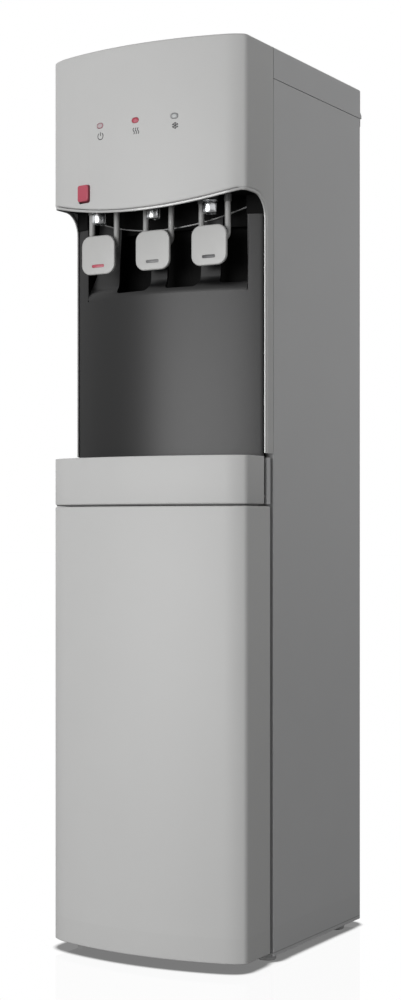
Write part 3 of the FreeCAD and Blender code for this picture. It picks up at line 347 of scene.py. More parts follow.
    @staticmethod
    def modify(piece: Piece, kind: str, **settings: object) -> None:
        """Adds a modifier and applies it.

        Args:
            piece: The piece to work on.
            kind: Blender's name of the modifier's type.
            settings: The modifier's own settings.
        """
        Bench.take(piece)
        modifier = piece.modifiers.new(kind.lower(), kind)
        for name, value in settings.items():
            setattr(modifier, name, value)
        bpy.ops.object.modifier_apply(modifier=modifier.name)

    @staticmethod
    def shape(piece: Piece, other: Piece, operation: Operation = Operation.CUT) -> None:
        """Cuts a piece by another solid, keeps what both hold or adds the two, and removes the other."""
        Bench.modify(piece, "BOOLEAN", operation=operation.value, object=other, solver="EXACT")
        bpy.data.objects.remove(other)

    @staticmethod
    def smooth(piece: Piece, degrees: float = CREASE) -> Piece:
        """Shades a piece smooth.

        Args:
            piece: The piece to shade.
            degrees: The angle above which an edge stays sharp.

        Returns:
            The same piece.
        """
        Bench.take(piece)
        bpy.ops.object.shade_smooth_by_angle(angle=math.radians(degrees))
        return piece

    @staticmethod
    def copy(piece: Piece, name: str, across: float) -> Piece:
        """Copies a piece with its own mesh, and moves the copy's vertices.

        Args:
            piece: The pattern.
            name: Name of the copy.
            across: How far it is moved to the right, in millimetres.

        Returns:
            The copy.
        """
        Bench.take(piece)
        bpy.ops.object.duplicate(linked=False)
        twin = Bench.call(bpy.context.object, name)
        Bench.edit(twin)
        bpy.ops.transform.translate(value=RIGHT * across * MM)
        bpy.ops.object.mode_set(mode="OBJECT")
        return twin

    @staticmethod
    def turn(piece: Piece, degrees: float, centre: Vector, axis: str = "Z") -> None:
        """Turns a piece's vertices, by the right-hand rule.

        Args:
            piece: The piece to turn.
            degrees: How far it turns.
            centre: A point on the axis, in metres.
            axis: The axis that it turns about.
        """
        Bench.edit(piece)
        bpy.ops.transform.rotate(value=-math.radians(degrees), orient_axis=axis, center_override=centre)
        bpy.ops.object.mode_set(mode="OBJECT")

    @staticmethod
    def join(name: str, pieces: Sequence[Piece]) -> Piece:
        """Joins pieces into one mesh.

        Args:
            name: Name of the whole.
            pieces: What is joined.

        Returns:
            The first piece, which now holds the others.
        """
        Bench.take(pieces[0])
        for piece in pieces[1:]:
            piece.select_set(True)
        bpy.ops.object.join()
        return Bench.call(pieces[0], name)


class Value:
    """A shader socket that takes part in Python sums."""

    def __init__(self, graph: "Graph", socket: bpy.types.NodeSocket) -> None:
        """Keeps the socket and its graph."""
        self.graph = graph
        self.socket = socket

    def _sum(self, operation: str, first: "Number", second: "Number") -> "Value":
        """Adds one Math node for an operation on two values."""
        return self.graph.value("ShaderNodeMath", {"operation": operation}, {0: first, 1: second})

    def __add__(self, other: "Number") -> "Value":
        """This value plus another."""
        return self._sum("ADD", self, other)

    __radd__ = __add__

    def __sub__(self, other: "Number") -> "Value":
        """This value minus another."""
        return self._sum("SUBTRACT", self, other)

    def __rsub__(self, other: "Number") -> "Value":
        """Another value minus this one."""
        return self._sum("SUBTRACT", other, self)

    def __mul__(self, other: "Number") -> "Value":
        """This value times another."""
        return self._sum("MULTIPLY", self, other)

    __rmul__ = __mul__

    def __truediv__(self, other: "Number") -> "Value":
        """This value over another."""
        return self._sum("DIVIDE", self, other)

    def __gt__(self, other: "Number") -> "Value":
        """One where this value is the greater, otherwise nought."""
        return self._sum("GREATER_THAN", self, other)

    def __lt__(self, other: "Number") -> "Value":
        """One where this value is the smaller, otherwise nought."""
        return self._sum("LESS_THAN", self, other)

    def most(self, other: "Number") -> "Value":
        """The greater of this value and another."""
        return self._sum("MAXIMUM", self, other)


Number = Union[Value, float]


class Graph:
    """A node tree, with one method that adds any node."""

    def __init__(self, tree: bpy.types.NodeTree) -> None:
        """Takes a tree and empties it."""
        self.tree = tree
        tree.nodes.clear()

    def node(self, kind: str, settings: Optional[dict] = None, inputs: Optional[dict] = None) -> bpy.types.Node:
        """Adds a node.

        Args:
            kind: Blender's name of the node's type.
            settings: Its own settings, set first; "stops" gives a ramp its places and colours.
            inputs: Values or links for its sockets, by name or number.

        Returns:
            The new node.
        """
        made = self.tree.nodes.new(kind)
        for name, value in (settings or {}).items():
            if name == "stops":
                for index, (place, tone) in enumerate(value):
                    ramp = made.color_ramp.elements
                    stop = ramp[index] if index < 2 else ramp.new(place)
                    stop.position = place
                    stop.color = (*tone, 1.0)
            else:
                setattr(made, name, value)
        for key, value in (inputs or {}).items():
            self.feed(made.inputs[key], value)
        return made

    def feed(self, socket: bpy.types.NodeSocket, value: object) -> None:
        """Links a value to a socket, or sets the socket to a constant.

        Args:
            socket: The socket.
            value: The value or the constant.
        """
        if isinstance(value, Value):
            self.tree.links.new(value.socket, socket)
        else:
            socket.default_value = value

    def out(self, node: bpy.types.Node, name: Union[str, int] = 0) -> Value:
        """An output of a node as a value."""
        return Value(self, node.outputs[name])

    def value(self, kind: str, settings: Optional[dict] = None, inputs: Optional[dict] = None,
              output: Union[str, int] = 0) -> Value:
        """Adds a node and gives one of its outputs."""
        return self.out(self.node(kind, settings, inputs), output)

    def blend(self, share: Number, first: Value, second: Value) -> Value:
        """The first shader where the share is nought, the second where it is one."""
        return self.value("ShaderNodeMixShader", None, {0: share, 1: first, 2: second})


class Paint(Graph):
    """The node tree of one material, with its shader ready."""

    def __init__(self, name: str) -> None:
        """Starts a material that holds a principled shader and an output.

        Args:
            name: Name of the material.
        """
        self.material = bpy.data.materials.new(name)
        self.material.use_nodes = True
        super().__init__(self.material.node_tree)
        self.shader = self.node("ShaderNodeBsdfPrincipled")
        self.output = self.node("ShaderNodeOutputMaterial", None, {"Surface": self.out(self.shader)})

    def place(self) -> Value:
        """Object coordinates."""
        return self.value("ShaderNodeTexCoord", output="Object")

    def along(self, axis: str) -> Value:
        """One object coordinate, in millimetres."""
        return self.value("ShaderNodeSeparateXYZ", None, {0: self.place()}, axis) * (1 / MM)

    def noise(self, size: float, detail: float = 2.0, place: Optional[Value] = None) -> Value:
        """Noise from nought to one, with patches of a size in millimetres and a number of finer layers."""
        inputs = {"Vector": place or self.place(), "Scale": 1 / (size * MM), "Detail": detail}
        return self.value("ShaderNodeTexNoise", {"noise_dimensions": "3D"}, inputs)

    def streaks(self, stretch: float) -> Value:
        """Streaks a millimetre wide, drawn out upright."""
        drawn = self.value("ShaderNodeMapping", None, {"Vector": self.place(), "Scale": (1.0, 1.0, stretch)})
        return self.noise(1.0, place=drawn)

    def cells(self, size: float, output: str) -> Value:
        """Cells of a size in millimetres, as their distance or their colour."""
        inputs = {"Vector": self.place(), "Scale": 1 / (size * MM)}
        return self.value("ShaderNodeTexVoronoi", {"feature": "F1"}, inputs, output)

    def tint(self, colour: Colour, shade: Value) -> Value:
        """A colour made lighter or darker by a value."""
        return self.value("ShaderNodeVectorMath", {"operation": "SCALE"}, {0: colour, "Scale": shade})

    def shaded(self, colour: Colour, tone: Pair, mask: Value) -> Value:
        """A colour whose shade starts at the first tone and changes by the second as a mask grows."""
        return self.tint(colour, tone[0] + mask * tone[1])

    def mix(self, share: Number, first: Value, second: Colour) -> Value:
        """The first colour where the share is nought, the second where it is one."""
        return self.value("ShaderNodeMix", {"data_type": "RGBA"}, {0: share, 6: first, 7: (*second, 1.0)}, 2)

    def bump(self, height: Value, depth: float) -> Value:
        """A normal from a height, with its depth in millimetres."""
        return self.value("ShaderNodeBump", None, {"Strength": 1.0, "Distance": depth * MM, "Height": height})

    def give(self, **sockets: object) -> None:
        """Feeds the shader's own sockets.

        Args:
            sockets: Values by the sockets' names, with underscores for spaces.
        """
        for name, value in sockets.items():
            socket = self.shader.inputs[name.replace("_", " ")]
            self.feed(socket, (*value, 1.0) if isinstance(value, tuple) else value)


@dataclass(frozen=True)
class Finish:
    """A moulded or painted surface: even colour with a slight drift, and a fine grain.

    Sizes are in millimetres. The swing is how far the roughness changes over the surface.
    """

    name: str
    colour: Colour
    roughness: float
    metallic: float = 0.0
    coat: float = 0.0
    specular: float = 0.5
    mottle: float = 0.05
    drift: float = 90.0
    grain: float = 0.7
    grain_depth: float = 0.004
    swing: float = 0.1

    def material(self) -> bpy.types.Material:
        """The finished material, built the first time that it is asked for.

        Returns:
            The material.
        """
        found = bpy.data.materials.get(self.name)
        if found is not None:
            return found
        graph = Paint(self.name)
        graph.give(Metallic=self.metallic, Coat_Weight=self.coat, Specular_IOR_Level=self.specular)
        self.paint(graph)
        return graph.material

    def paint(self, graph: Paint) -> None:
        """Feeds colour, roughness and normal.

        Args:
            graph: The material's node tree.
        """
        drift = graph.noise(self.drift, 3.0)
        fine = graph.noise(self.grain, 3.0)
        shade = 1 - self.mottle / 2 + drift * self.mottle
        graph.give(Base_Color=graph.tint(self.colour, shade + (fine - 0.5) * self.mottle),
                   Roughness=self.roughness - self.swing / 2 + fine * self.swing,
                   Normal=graph.bump(fine, self.grain_depth))


@dataclass(frozen=True)
class Satin(Finish):
    """Silver-grey moulding with a fine metallic flake, painted shade that darkens it near the floor, and a dark line
    of painted shade along a hem where one is given.
    """

    swing: float = 0.12
    flake: float = 0.35
    flake_share: float = 0.3
    rub: float = 60.0
    peel: float = 2.2
    # Painted shade near the floor: the height below which the colour darkens, and by how much.
    floor_shade_below: float = 40.0
    floor_shade: float = 0.02
    # Painted shade along a hem: its height, half the line's height, and how much darker it is.
    hem: float = 0.0
    hem_half: float = 0.45
    hem_shade: float = 0.5

    def paint(self, graph: Paint) -> None:
        """Feeds a flaked colour, with rubbed patches in the gloss.

        Args:
            graph: The material's node tree.
        """
        flake = graph.noise(self.flake, 1.0)
        rub = graph.noise(self.rub, 4.0)
        peel = graph.noise(self.peel)
        height = graph.along("Z")
        # Painted shade: darker below a height over the floor, and a dark line along the hem's fold.
        foot = (height < self.floor_shade_below) * self.floor_shade
        fold_shade_line = (height > self.hem - self.hem_half) * (height < self.hem + self.hem_half) * self.hem_shade
        shade = 1 - self.mottle + (flake + rub) * self.mottle - foot - fold_shade_line
        graph.give(Base_Color=graph.tint(self.colour, shade),
                   Roughness=self.roughness - self.swing / 2 + rub * self.swing,
                   Normal=graph.bump(peel + flake * self.flake_share, self.grain_depth))


@dataclass(frozen=True)
class Sheet(Finish):
    """Zinc-coated steel: large pale crystals and a faint rolling grain."""

    swing: float = 0.12
    tone: Pair = (0.88, 0.24)
    crystal: float = 14.0
    rolled: float = 0.02

    def paint(self, graph: Paint) -> None:
        """Feeds crystals into colour and gloss, and the rolling grain into the normal."""
        crystals = graph.value("ShaderNodeSeparateColor", None, {0: graph.cells(self.crystal, "Color")})
        graph.give(Base_Color=graph.shaded(self.colour, self.tone, crystals),
                   Roughness=self.roughness + crystals * self.swing,
                   Normal=graph.bump(graph.streaks(self.rolled), self.grain_depth))


@dataclass(frozen=True)
class Plated(Finish):
    """Bright plating below a height, black moulding above it."""

    swing: float = 0.06
    tone: Pair = (0.94, 0.12)
    smear: float = 6.0
    black: Colour = (0.012, 0.012, 0.013)
    black_from: float = 888.0
    black_dull: float = 0.3

    def paint(self, graph: Paint) -> None:
        """Feeds plating and moulding, parted at a height.

        Args:
            graph: The material's node tree.
        """
        black = graph.along("Z") > self.black_from
        smear = graph.noise(self.smear, 3.0)
        plating = graph.shaded(self.colour, self.tone, smear)
        graph.give(Base_Color=graph.mix(black, plating, self.black), Metallic=1 - black,
                   Roughness=self.roughness + smear * self.swing + black * self.black_dull)


@dataclass(frozen=True)
class Glow(Finish):
    """Lamp lens: cloudy plastic with a rim tone, lit or not."""

    swing: float = 0.08
    tone: Pair = (0.9, 0.2)
    cloud: float = 1.2
    rim: Colour = (0.3, 0.2, 0.2)
    rim_from: float = 0.62
    middle: Pair = (0.0, 980.5)
    half_size: Pair = (4.6, 3.1)
    light: float = 0.0

    def paint(self, graph: Paint) -> None:
        """Feeds a rim and a cloudy middle, and the light of a lit lamp.

        Args:
            graph: The material's node tree.
        """
        across, up = ((graph.along(axis) - middle) / half
                      for axis, middle, half in zip("XZ", self.middle, self.half_size))
        cloud = graph.noise(self.cloud)
        inner = graph.shaded(self.colour, self.tone, cloud)
        colour = graph.mix(across * across + up * up > self.rim_from, inner, self.rim)
        graph.give(Base_Color=colour, Roughness=self.roughness + cloud * self.swing)
        if self.light > 0:
            graph.give(Emission_Color=colour, Emission_Strength=self.light)


@dataclass(frozen=True)
class Banded(Finish):
    """White filter sleeve with one plain tinted band and fine upright moulding lines."""

    drift: float = 30.0
    swing: float = 0.08
    tone: Pair = (0.96, 0.06)
    lines: float = 0.01
    band: Colour = (0.25, 0.36, 0.45)
    low: float = 330.0
    high: float = 372.0

    def paint(self, graph: Paint) -> None:
        """Feeds the band by height and the lines by place.

        Args:
            graph: The material's node tree.
        """
        height, lines = graph.along("Z"), graph.streaks(self.lines)
        band = (height > self.low) * (height < self.high)
        plain = graph.shaded(self.colour, self.tone, graph.noise(self.drift, 3.0))
        graph.give(Base_Color=graph.mix(band, plain, self.band), Roughness=self.roughness + lines * self.swing,
                   Normal=graph.bump(lines, self.grain_depth))


@dataclass(frozen=True)
class Cellular(Finish):
    """Foam: small closed cells, with painted shade darkening the hollows between them."""

    swing: float = 0.05
    tone: Pair = (1.05, -0.25)
    cell: float = 2.4

    def paint(self, graph: Paint) -> None:
        """Feeds the cells into colour and normal."""
        cells = graph.cells(self.cell, "Distance")
        # Painted shade: darker towards each cell's border, where the bump sinks.
        graph.give(Base_Color=graph.shaded(self.colour, self.tone, cells),
                   Roughness=self.roughness + cells * self.swing, Normal=graph.bump(1 - cells, self.grain_depth))


@dataclass(frozen=True)
class Traced(Finish):
    """Circuit board: lacquer over a faint pattern of tracks."""

    tone: Pair = (0.8, 0.9)
    track: float = 3.0
    track_width: float = 0.06

    def paint(self, graph: Paint) -> None:
        """Feeds a brick pattern as tracks under the lacquer.

        Args:
            graph: The material's node tree.
        """
        upright = graph.value("ShaderNodeMapping", None,
                              {"Vector": graph.place(), "Rotation": (math.pi / 2, 0.0, 0.0)})
        tracks = graph.value("ShaderNodeTexBrick", {"offset": 0.5}, {
            "Vector": upright, "Scale": 1 / (self.track * MM), "Mortar Size": self.track_width}, "Fac")
        graph.give(Base_Color=graph.shaded(self.colour, self.tone, tracks),
                   Roughness=self.roughness + tracks * self.swing, Normal=graph.bump(tracks, self.grain_depth))


class Finishes:
    """The finishes of this cooler, by what they are used on."""

    shell = Satin("finish_shell", (0.515, 0.515, 0.51), 0.46, specular=0.28, mottle=0.03, grain_depth=0.003)
    lip = Satin("finish_lip", (0.42, 0.42, 0.415), 0.25, coat=0.3, mottle=0.02, grain_depth=0.002)
    side = Satin("finish_side", (0.485, 0.487, 0.49), 0.45, mottle=0.04, grain_depth=0.006, hem=10.6)
    cap = Satin("finish_cap", (0.48, 0.482, 0.485), 0.45, mottle=0.04, grain_depth=0.005)
    gloss = Finish("finish_gloss", (0.004, 0.004, 0.0042), 0.36, specular=0.34, mottle=0.1, grain=1.6,
                   grain_depth=0.002)
    # Painted highlight: a lighter grey for the edge of the ledge over the tongues.
    bead = Finish("finish_bead_highlight", (0.16, 0.16, 0.16), 0.25, mottle=0.1)
    # Painted shade: the dark colour of the sill in the seam over the door.
    seam = Finish("finish_seam_shade", (0.07, 0.07, 0.07), 0.6, mottle=0.1)
    black = Finish("finish_black", (0.004, 0.004, 0.004), 0.6, specular=0.05, mottle=0.2, grain=0.5)
    foot = Finish("finish_foot", (0.42, 0.42, 0.42), 0.7, specular=0.3, mottle=0.15, grain=0.9, grain_depth=0.02)
    plating = Plated("finish_plating", (0.62, 0.63, 0.64), 0.2)
    paddle = Finish("finish_paddle", (0.425, 0.425, 0.418), 0.38, mottle=0.04, grain=0.6, grain_depth=0.004)
    lever = Finish("finish_lever", (0.31, 0.31, 0.305), 0.35, mottle=0.06, grain=0.6)
    sleeve = Finish("finish_sleeve", (0.10, 0.10, 0.10), 0.4, mottle=0.08, grain=0.6)
    red = Finish("finish_red", (0.40, 0.052, 0.086), 0.36, mottle=0.08, grain=0.5)
    dark_mark = Finish("finish_dark_mark", (0.055, 0.055, 0.058), 0.4, mottle=0.1)
    grey_mark = Finish("finish_grey_mark", (0.15, 0.15, 0.153), 0.4, mottle=0.1)
    icon = Finish("finish_icon", (0.035, 0.035, 0.037), 0.5, mottle=0.1)
    power_lamp = Glow("finish_power_lamp", (0.42, 0.37, 0.38), 0.3, rim=(0.36, 0.15, 0.18), middle=(-51.0, 980.5))
    heating_lamp = Glow("finish_heating_lamp", (0.40, 0.08, 0.12), 0.28, rim=(0.33, 0.02, 0.045), rim_from=0.25,
                        light=0.03)
    cooling_lamp = Glow("finish_cooling_lamp", (0.43, 0.44, 0.44), 0.3, rim=(0.23, 0.235, 0.24), rim_from=0.35,
                        middle=(51.0, 980.5))
    zinc = Sheet("finish_zinc", (0.52, 0.53, 0.54), 0.34, metallic=0.85, grain_depth=0.004)
    steel = Sheet("finish_steel", (0.60, 0.60, 0.60), 0.22, metallic=1.0, crystal=60.0, grain_depth=0.003)
    grille = Finish("finish_grille", (0.06, 0.06, 0.062), 0.45, mottle=0.12, grain=0.4)
    liner = Finish("finish_liner", (0.40, 0.40, 0.395), 0.5, mottle=0.06, grain=0.9, grain_depth=0.012)
    foam = Cellular("finish_foam", (0.72, 0.71, 0.66), 0.85, grain_depth=0.2)
    rubber = Finish("finish_rubber", (0.018, 0.018, 0.018), 0.75, specular=0.3, mottle=0.25, grain=0.9,
                    grain_depth=0.02)
    machine = Finish("finish_machine", (0.016, 0.016, 0.018), 0.38, mottle=0.2, grain=1.8, grain_depth=0.02)
    filter = Banded("finish_filter", (0.74, 0.74, 0.72), 0.4, grain_depth=0.01)
    hose = Finish("finish_hose", (0.66, 0.68, 0.66), 0.28, mottle=0.08, grain=2.0)
    fitting = Finish("finish_fitting", (0.70, 0.70, 0.68), 0.42, mottle=0.06, grain=0.8, grain_depth=0.008)
    board = Traced("finish_board", (0.02, 0.12, 0.05), 0.35, grain_depth=0.03)
    copper = Finish("finish_copper", (0.62, 0.27, 0.15), 0.3, metallic=1.0, mottle=0.35, grain=2.0)
    switch_red = Finish("finish_switch_red", (0.45, 0.02, 0.02), 0.32, mottle=0.1)
    switch_green = Finish("finish_switch_green", (0.02, 0.22, 0.05), 0.32, mottle=0.1)


def dress(finish: Finish, *nodes: str) -> None:
    """Gives CAD nodes a finish through their material slots.

    Args:
        finish: The finish.
        nodes: Names of the nodes.
    """
    for name in nodes:
        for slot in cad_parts[name].material_slots:
            slot.material = finish.material()
        LOG.info("dressed %s with %s", name, finish.name)


def seat(piece: Piece, finish: Finish, body: Body, slot: str, *nodes: str) -> None:
    """Finishes a new piece: its material and body, and the nodes that it stands for.

    Args:
        piece: The finished mesh.
        finish: Its finish.
        body: The body that it rides on.
        slot: The record's material slot; not used.
        nodes: CAD nodes that it replaces.
    """
    piece.data.materials.clear()
    piece.data.materials.append(finish.material())
    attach(piece, body.value)
    if nodes:
        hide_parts(*nodes)
    LOG.info("built %s: %d faces, rides %s", piece.name, len(piece.data.polygons), body.value)


@dataclass(frozen=True)
class BowPlan:
    """Plan of the front: a shallow bow, a rounder shoulder at each end and a crisp corner, in millimetres."""

    half_width: float = 132.5
    bow_radius: float = 397.0
    shoulder_radius: float = 60.0
    corner_radius: float = 8.0
    corner_depth: float = 31.8
    bow_steps: int = 54
    shoulder_steps: int = 14
    corner_steps: int = 8

    @property
    def corner_x(self) -> float:
        """Place across of a corner's centre."""
        return self.half_width - self.corner_radius

    @property
    def splay(self) -> float:
        """Half the angle of the bow, in degrees.

        Returns:
            The angle at which bow and shoulder meet.
        """
        reach, inner = self.bow_radius - self.shoulder_radius, self.shoulder_radius - self.corner_radius
        rise = self.bow_radius - self.corner_depth
        span = math.hypot(self.corner_x, rise)
        opening = math.acos(min(1.0, (reach ** 2 + span ** 2 - inner ** 2) / (2 * reach * span)))
        return math.degrees(math.atan2(self.corner_x, rise) - opening)

    @property
    def shoulder(self) -> Pair:
        """Place across and depth of a shoulder's centre."""
        turn, reach = math.radians(self.splay), self.bow_radius - self.shoulder_radius
        return reach * math.sin(turn), self.bow_radius - reach * math.cos(turn)

    @property
    def bend(self) -> float:
        """Angle at which a shoulder meets its corner, in degrees."""
        x, depth = self.shoulder
        return math.degrees(math.atan2(self.corner_x - x, depth - self.corner_depth))

    def depth_at(self, x: float, inset: float) -> float:
        """Depth of the outline at a place across.

        Args:
            x: The place across.
            inset: How far the outline lies in.

        Returns:
            The depth behind the front of the bow.
        """
        across, (middle, depth) = abs(x), self.shoulder
        if across <= (self.bow_radius - inset) * math.sin(math.radians(self.splay)):
            return self.bow_radius - math.sqrt((self.bow_radius - inset) ** 2 - x ** 2)
        reach = self.shoulder_radius - inset
        if across <= middle + reach * math.sin(math.radians(self.bend)):
            return depth - math.sqrt(reach ** 2 - (across - middle) ** 2)
        reach = (self.corner_radius - inset) ** 2 - (across - self.corner_x) ** 2
        return self.corner_depth - math.sqrt(max(reach, 0.0))

    def on_skin(self, point: Vector, inset: float) -> bool:
        """Whether a point lies on the outline.

        Args:
            point: The point, in metres.
            inset: How far the outline lies in.

        Returns:
            True on a flat side, corner, shoulder or the bow.
        """
        x, depth = point.x / MM, depth_of(point)
        if abs(abs(x) - self.half_width + inset) < TOUCH and depth > self.corner_depth - TOUCH:
            return True
        return abs(depth - self.depth_at(x, inset)) < 4 * TOUCH and depth < self.corner_depth + TOUCH

    def block(self, name: str, inset: float, rear: float, low: float, high: float) -> Piece:
        """A solid with this plan.

        Args:
            name: Name of the new piece.
            inset: How far it lies in from the outline.
            rear: Depth of its flat rear.
            low: Height of its foot.
            high: Height of its top.

        Returns:
            The closed solid.
        """
        half = self.half_width - inset
        x, depth = self.shoulder
        turn = self.bend - self.splay
        start = at(-half, rear, low)
        strokes = [
            Line(at(-half, self.corner_depth, low)),
            Arc(at(-self.corner_x, self.corner_depth, low), 90 - self.bend, self.corner_steps, UP),
            Arc(at(-x, depth, low), turn, self.shoulder_steps, UP),
            Arc(at(0, self.bow_radius, low), 2 * self.splay, self.bow_steps, UP),
            Arc(at(x, depth, low), turn, self.shoulder_steps, UP),
            Arc(at(self.corner_x, self.corner_depth, low), 90 - self.bend, self.corner_steps, UP),
            Line(at(half, rear, low)),
            Line(start),
        ]
        return Bench.prism(name, start, strokes, UP * (high - low) * MM)


@dataclass
class Head:
    """Bowed head: its face with a rounded lower edge, the lip under it, its seam, lamps, signs and lock button."""

    plan: BowPlan = BowPlan()
    top: float = 1070.0
    foot: float = 594.2
    rear: float = 91.9
    wall: float = 2.5
    crown: float = 3.0
    crown_steps: int = 5
    post: float = 74.4
    space_half: float = 140.0
    space_front: float = -8.0
    space_foot: float = 585.0
    arch_top: float = 892.0
    arch_radius: float = 25.0
    arch_steps: int = 14
    smile: float = 496.0
    smile_foot: float = 875.7
    smile_steps: int = 28
    rim_top: float = 905.0
    rim_reach: float = 6.0
    edge: float = 2.2
    edge_steps: int = 4
    lip_width: float = 2.7
    lip_sink: float = 0.8
    lip_lift: float = 0.4
    lip_rise: float = 20.0
    lip_edge: float = 0.7
    lip_play: float = 0.2
    groove: float = 0.7
    seam: float = 0.7
    seam_step: float = 1.0
    seam_lap: float = 0.1
    lamp_x: float = 51.0
    lamp_z: float = 980.5
    lamp_size: Pair = (9.2, 6.2)
    lamp_gap: float = 0.3
    lens_proud: float = 0.35
    lens_round: float = 0.5
    button: Pair = (-76.2, 903.5)
    button_size: Pair = (16.6, 19.2)
    button_corner: float = 2.5
    button_proud: float = 3.5
    button_round: float = 0.6
    button_rear: float = 18.2
    hole: Pair = (-75.9, 902.6)
    hole_size: Pair = (18.2, 21.4)
    board: float = 24.0
    slug_front: float = -6.0
    trim: Triple = (60.0, 880.0, 1010.0)
    trim_angle: float = 50.0
    icon_z: float = 968.1
    icon_grow: float = 1.25
    icon_front: float = -0.12
    icon_rear: float = 0.3
    icon_steps: int = 18
    stroke: float = 1.0

    def opening(self, name: str, grow: float, smile_grow: float) -> Piece:
        """The space under the head: an arch from the side, a smile from the front.

        Args:
            name: Name of the new solid.
            grow: How far arch and posts are opened up.
            smile_grow: How far the smile is opened up.

        Returns:
            The closed solid.
        """
        side, front, low = self.space_half, self.space_front, self.space_foot
        post, top, radius = self.post + grow, self.arch_top + grow, self.arch_radius + grow
        start = at(-side, front, low)
        strokes = [Line(at(-side, post, low)), Line(at(-side, post, top - radius)),
                   Arc(at(-side, post - radius, top - radius), 90, self.arch_steps, RIGHT),
                   Line(at(-side, front, top)), Line(start)]
        space = Bench.prism(name, start, strokes, RIGHT * 2 * side * MM)
        half, reach = side + SPARE, self.smile - smile_grow
        front, middle = front - SPARE, self.smile_foot + self.smile
        start = at(-half, front, middle - math.sqrt(reach ** 2 - half ** 2))
        spread = 2 * math.degrees(math.asin(half / reach))
        strokes = [Arc(at(0, front, middle), spread, self.smile_steps, -BACK),
                   Line(at(half, front, self.top)), Line(at(-half, front, self.top)), Line(start)]
        Bench.shape(space, Bench.prism(name + "_smile", start, strokes, BACK * (post + 4 * SPARE) * MM))
        return space

    def on_rim(self, point: Vector, inset: float) -> bool:
        """Whether a point lies on the outside of the head, by the rim of the opening."""
        low = point.z < self.rim_top * MM and depth_of(point) < self.post + self.rim_reach
        return low and self.plan.on_skin(point, inset)

    def near_opening(self, point: Vector) -> bool:
        """Whether a point lies on the rim of the opening itself, not on the far side of the lip.

        Args:
            point: The point, in metres.

        Returns:
            True by the smile, the arch or a post.
        """
        x, depth, z = point.x / MM, depth_of(point), point.z / MM
        low = self.smile_foot + self.smile - math.sqrt(self.smile ** 2 - x ** 2)
        arch = self.arch_top - self.arch_radius
        if z > arch and depth > self.post - self.arch_radius:
            turn = math.hypot(depth - self.post + self.arch_radius, z - arch)
            return abs(turn - self.arch_radius) < self.lip_play
        return abs(z - min(low, self.arch_top)) < self.lip_play or abs(depth - self.post) < self.lip_play

    def core(self, name: str, inset: float, high: float) -> Piece:
        """A cutter that hollows a piece of the head, up to a height."""
        return self.plan.block(name, inset, self.rear + SPARE, self.foot - SPARE, high)

    def build_face(self) -> Piece:
        """The face, top and posts, with holes for lamps and button.

        Returns:
            The finished mesh.
        """
        face = self.plan.block("head_face", 0.0, self.rear, self.foot, self.top)
        back = at(0, self.rear, 0).y
        crown = self.top * MM
        Bench.bevel(face, lambda p: p.z > crown - TOUCH * MM and p.y < back + TOUCH * MM and (
            abs(p.x) > self.plan.half_width * MM - TOUCH * MM or p.y < back - TOUCH * MM),
            self.crown, self.crown_steps)
        Bench.shape(face, self.core("head_core", self.wall, self.top - self.wall))
        Bench.shape(face, self.opening("head_opening", self.lip_width, self.lip_width + self.groove))
        Bench.bevel(face, lambda p: self.on_rim(p, 0.0), self.edge, self.edge_steps)
        for x in (-self.lamp_x, 0.0, self.lamp_x):
            Bench.shape(face, self.lamp_slug("lamp_hole", x, self.lamp_gap))
        Bench.shape(face, self.button_slug("button_hole", self.hole, self.hole_size, self.board))
        return Bench.smooth(face)

    def build_seam(self) -> Piece:
        """The parting line between the head and the sides and cap behind it: a black ring in the gap, whose black is
        painted shade.

        Returns:
            The finished mesh.
        """
        seam = self.plan.block("head_seam_shade", self.seam, self.rear + self.seam_step, self.foot, self.top - self.seam)
        Bench.shape(seam, self.core("seam_core", self.wall - self.seam_lap, self.top - self.wall))
        Bench.shape(seam, Bench.slab("seam_front", 0.0, self.top / 2, WIDE, 1.2 * self.top, 1.0, -2 * SPARE,
                                     self.rear))
        return Bench.smooth(seam)

    def build_lip(self) -> Piece:
        """The narrow lip under the face, set back behind a groove.

        Returns:
            The finished mesh.
        """
        high = self.arch_top + self.lip_rise
        lip = self.plan.block("head_lip", self.lip_sink, self.rear - self.seam_step, self.foot + self.lip_lift, high)
        Bench.shape(lip, self.core("lip_core", self.wall, high + SPARE))
        Bench.shape(lip, self.opening("lip_opening", 0.0, 0.0))
        Bench.shape(lip, self.opening("lip_band", 2 * self.lip_width, self.lip_width), Operation.KEEP)
        Bench.bevel(lip, lambda p: self.on_rim(p, self.lip_sink) and self.near_opening(p), self.lip_edge, 3)
        return Bench.smooth(lip)

    def lamp_slug(self, name: str, x: float, grow: float) -> Piece:
        """A long oval solid through the face, larger all round by grow."""
        width, height = self.lamp_size[0] + 2 * grow, self.lamp_size[1] + 2 * grow
        return Bench.slab(name, x, self.lamp_z, width, height, height / 2 - OVAL, self.slug_front, self.board, 10)

    def button_slug(self, name: str, middle: Pair, size: Pair, rear: float) -> Piece:
        """A square solid with rounded corners through the face, of a place and size, back to a depth."""
        return Bench.slab(name, *middle, *size, self.button_corner, self.slug_front, rear, 6)

    def rounded_front(self, piece: Piece, proud: float, round_off: float) -> Piece:
        """Gives a solid the bow's own front, standing proud, with a soft edge.

        Args:
            piece: The solid.
            proud: How far its front stands before the face.
            round_off: Width of its rounded edge.

        Returns:
            The finished mesh.
        """
        Bench.shape(piece, self.plan.block("bow_front", -proud, *self.trim), Operation.KEEP)
        Bench.modify(piece, "BEVEL", width=round_off * MM, segments=self.edge_steps, limit_method="ANGLE",
                     angle_limit=math.radians(self.trim_angle))
        return Bench.smooth(piece, ROUND_CREASE)

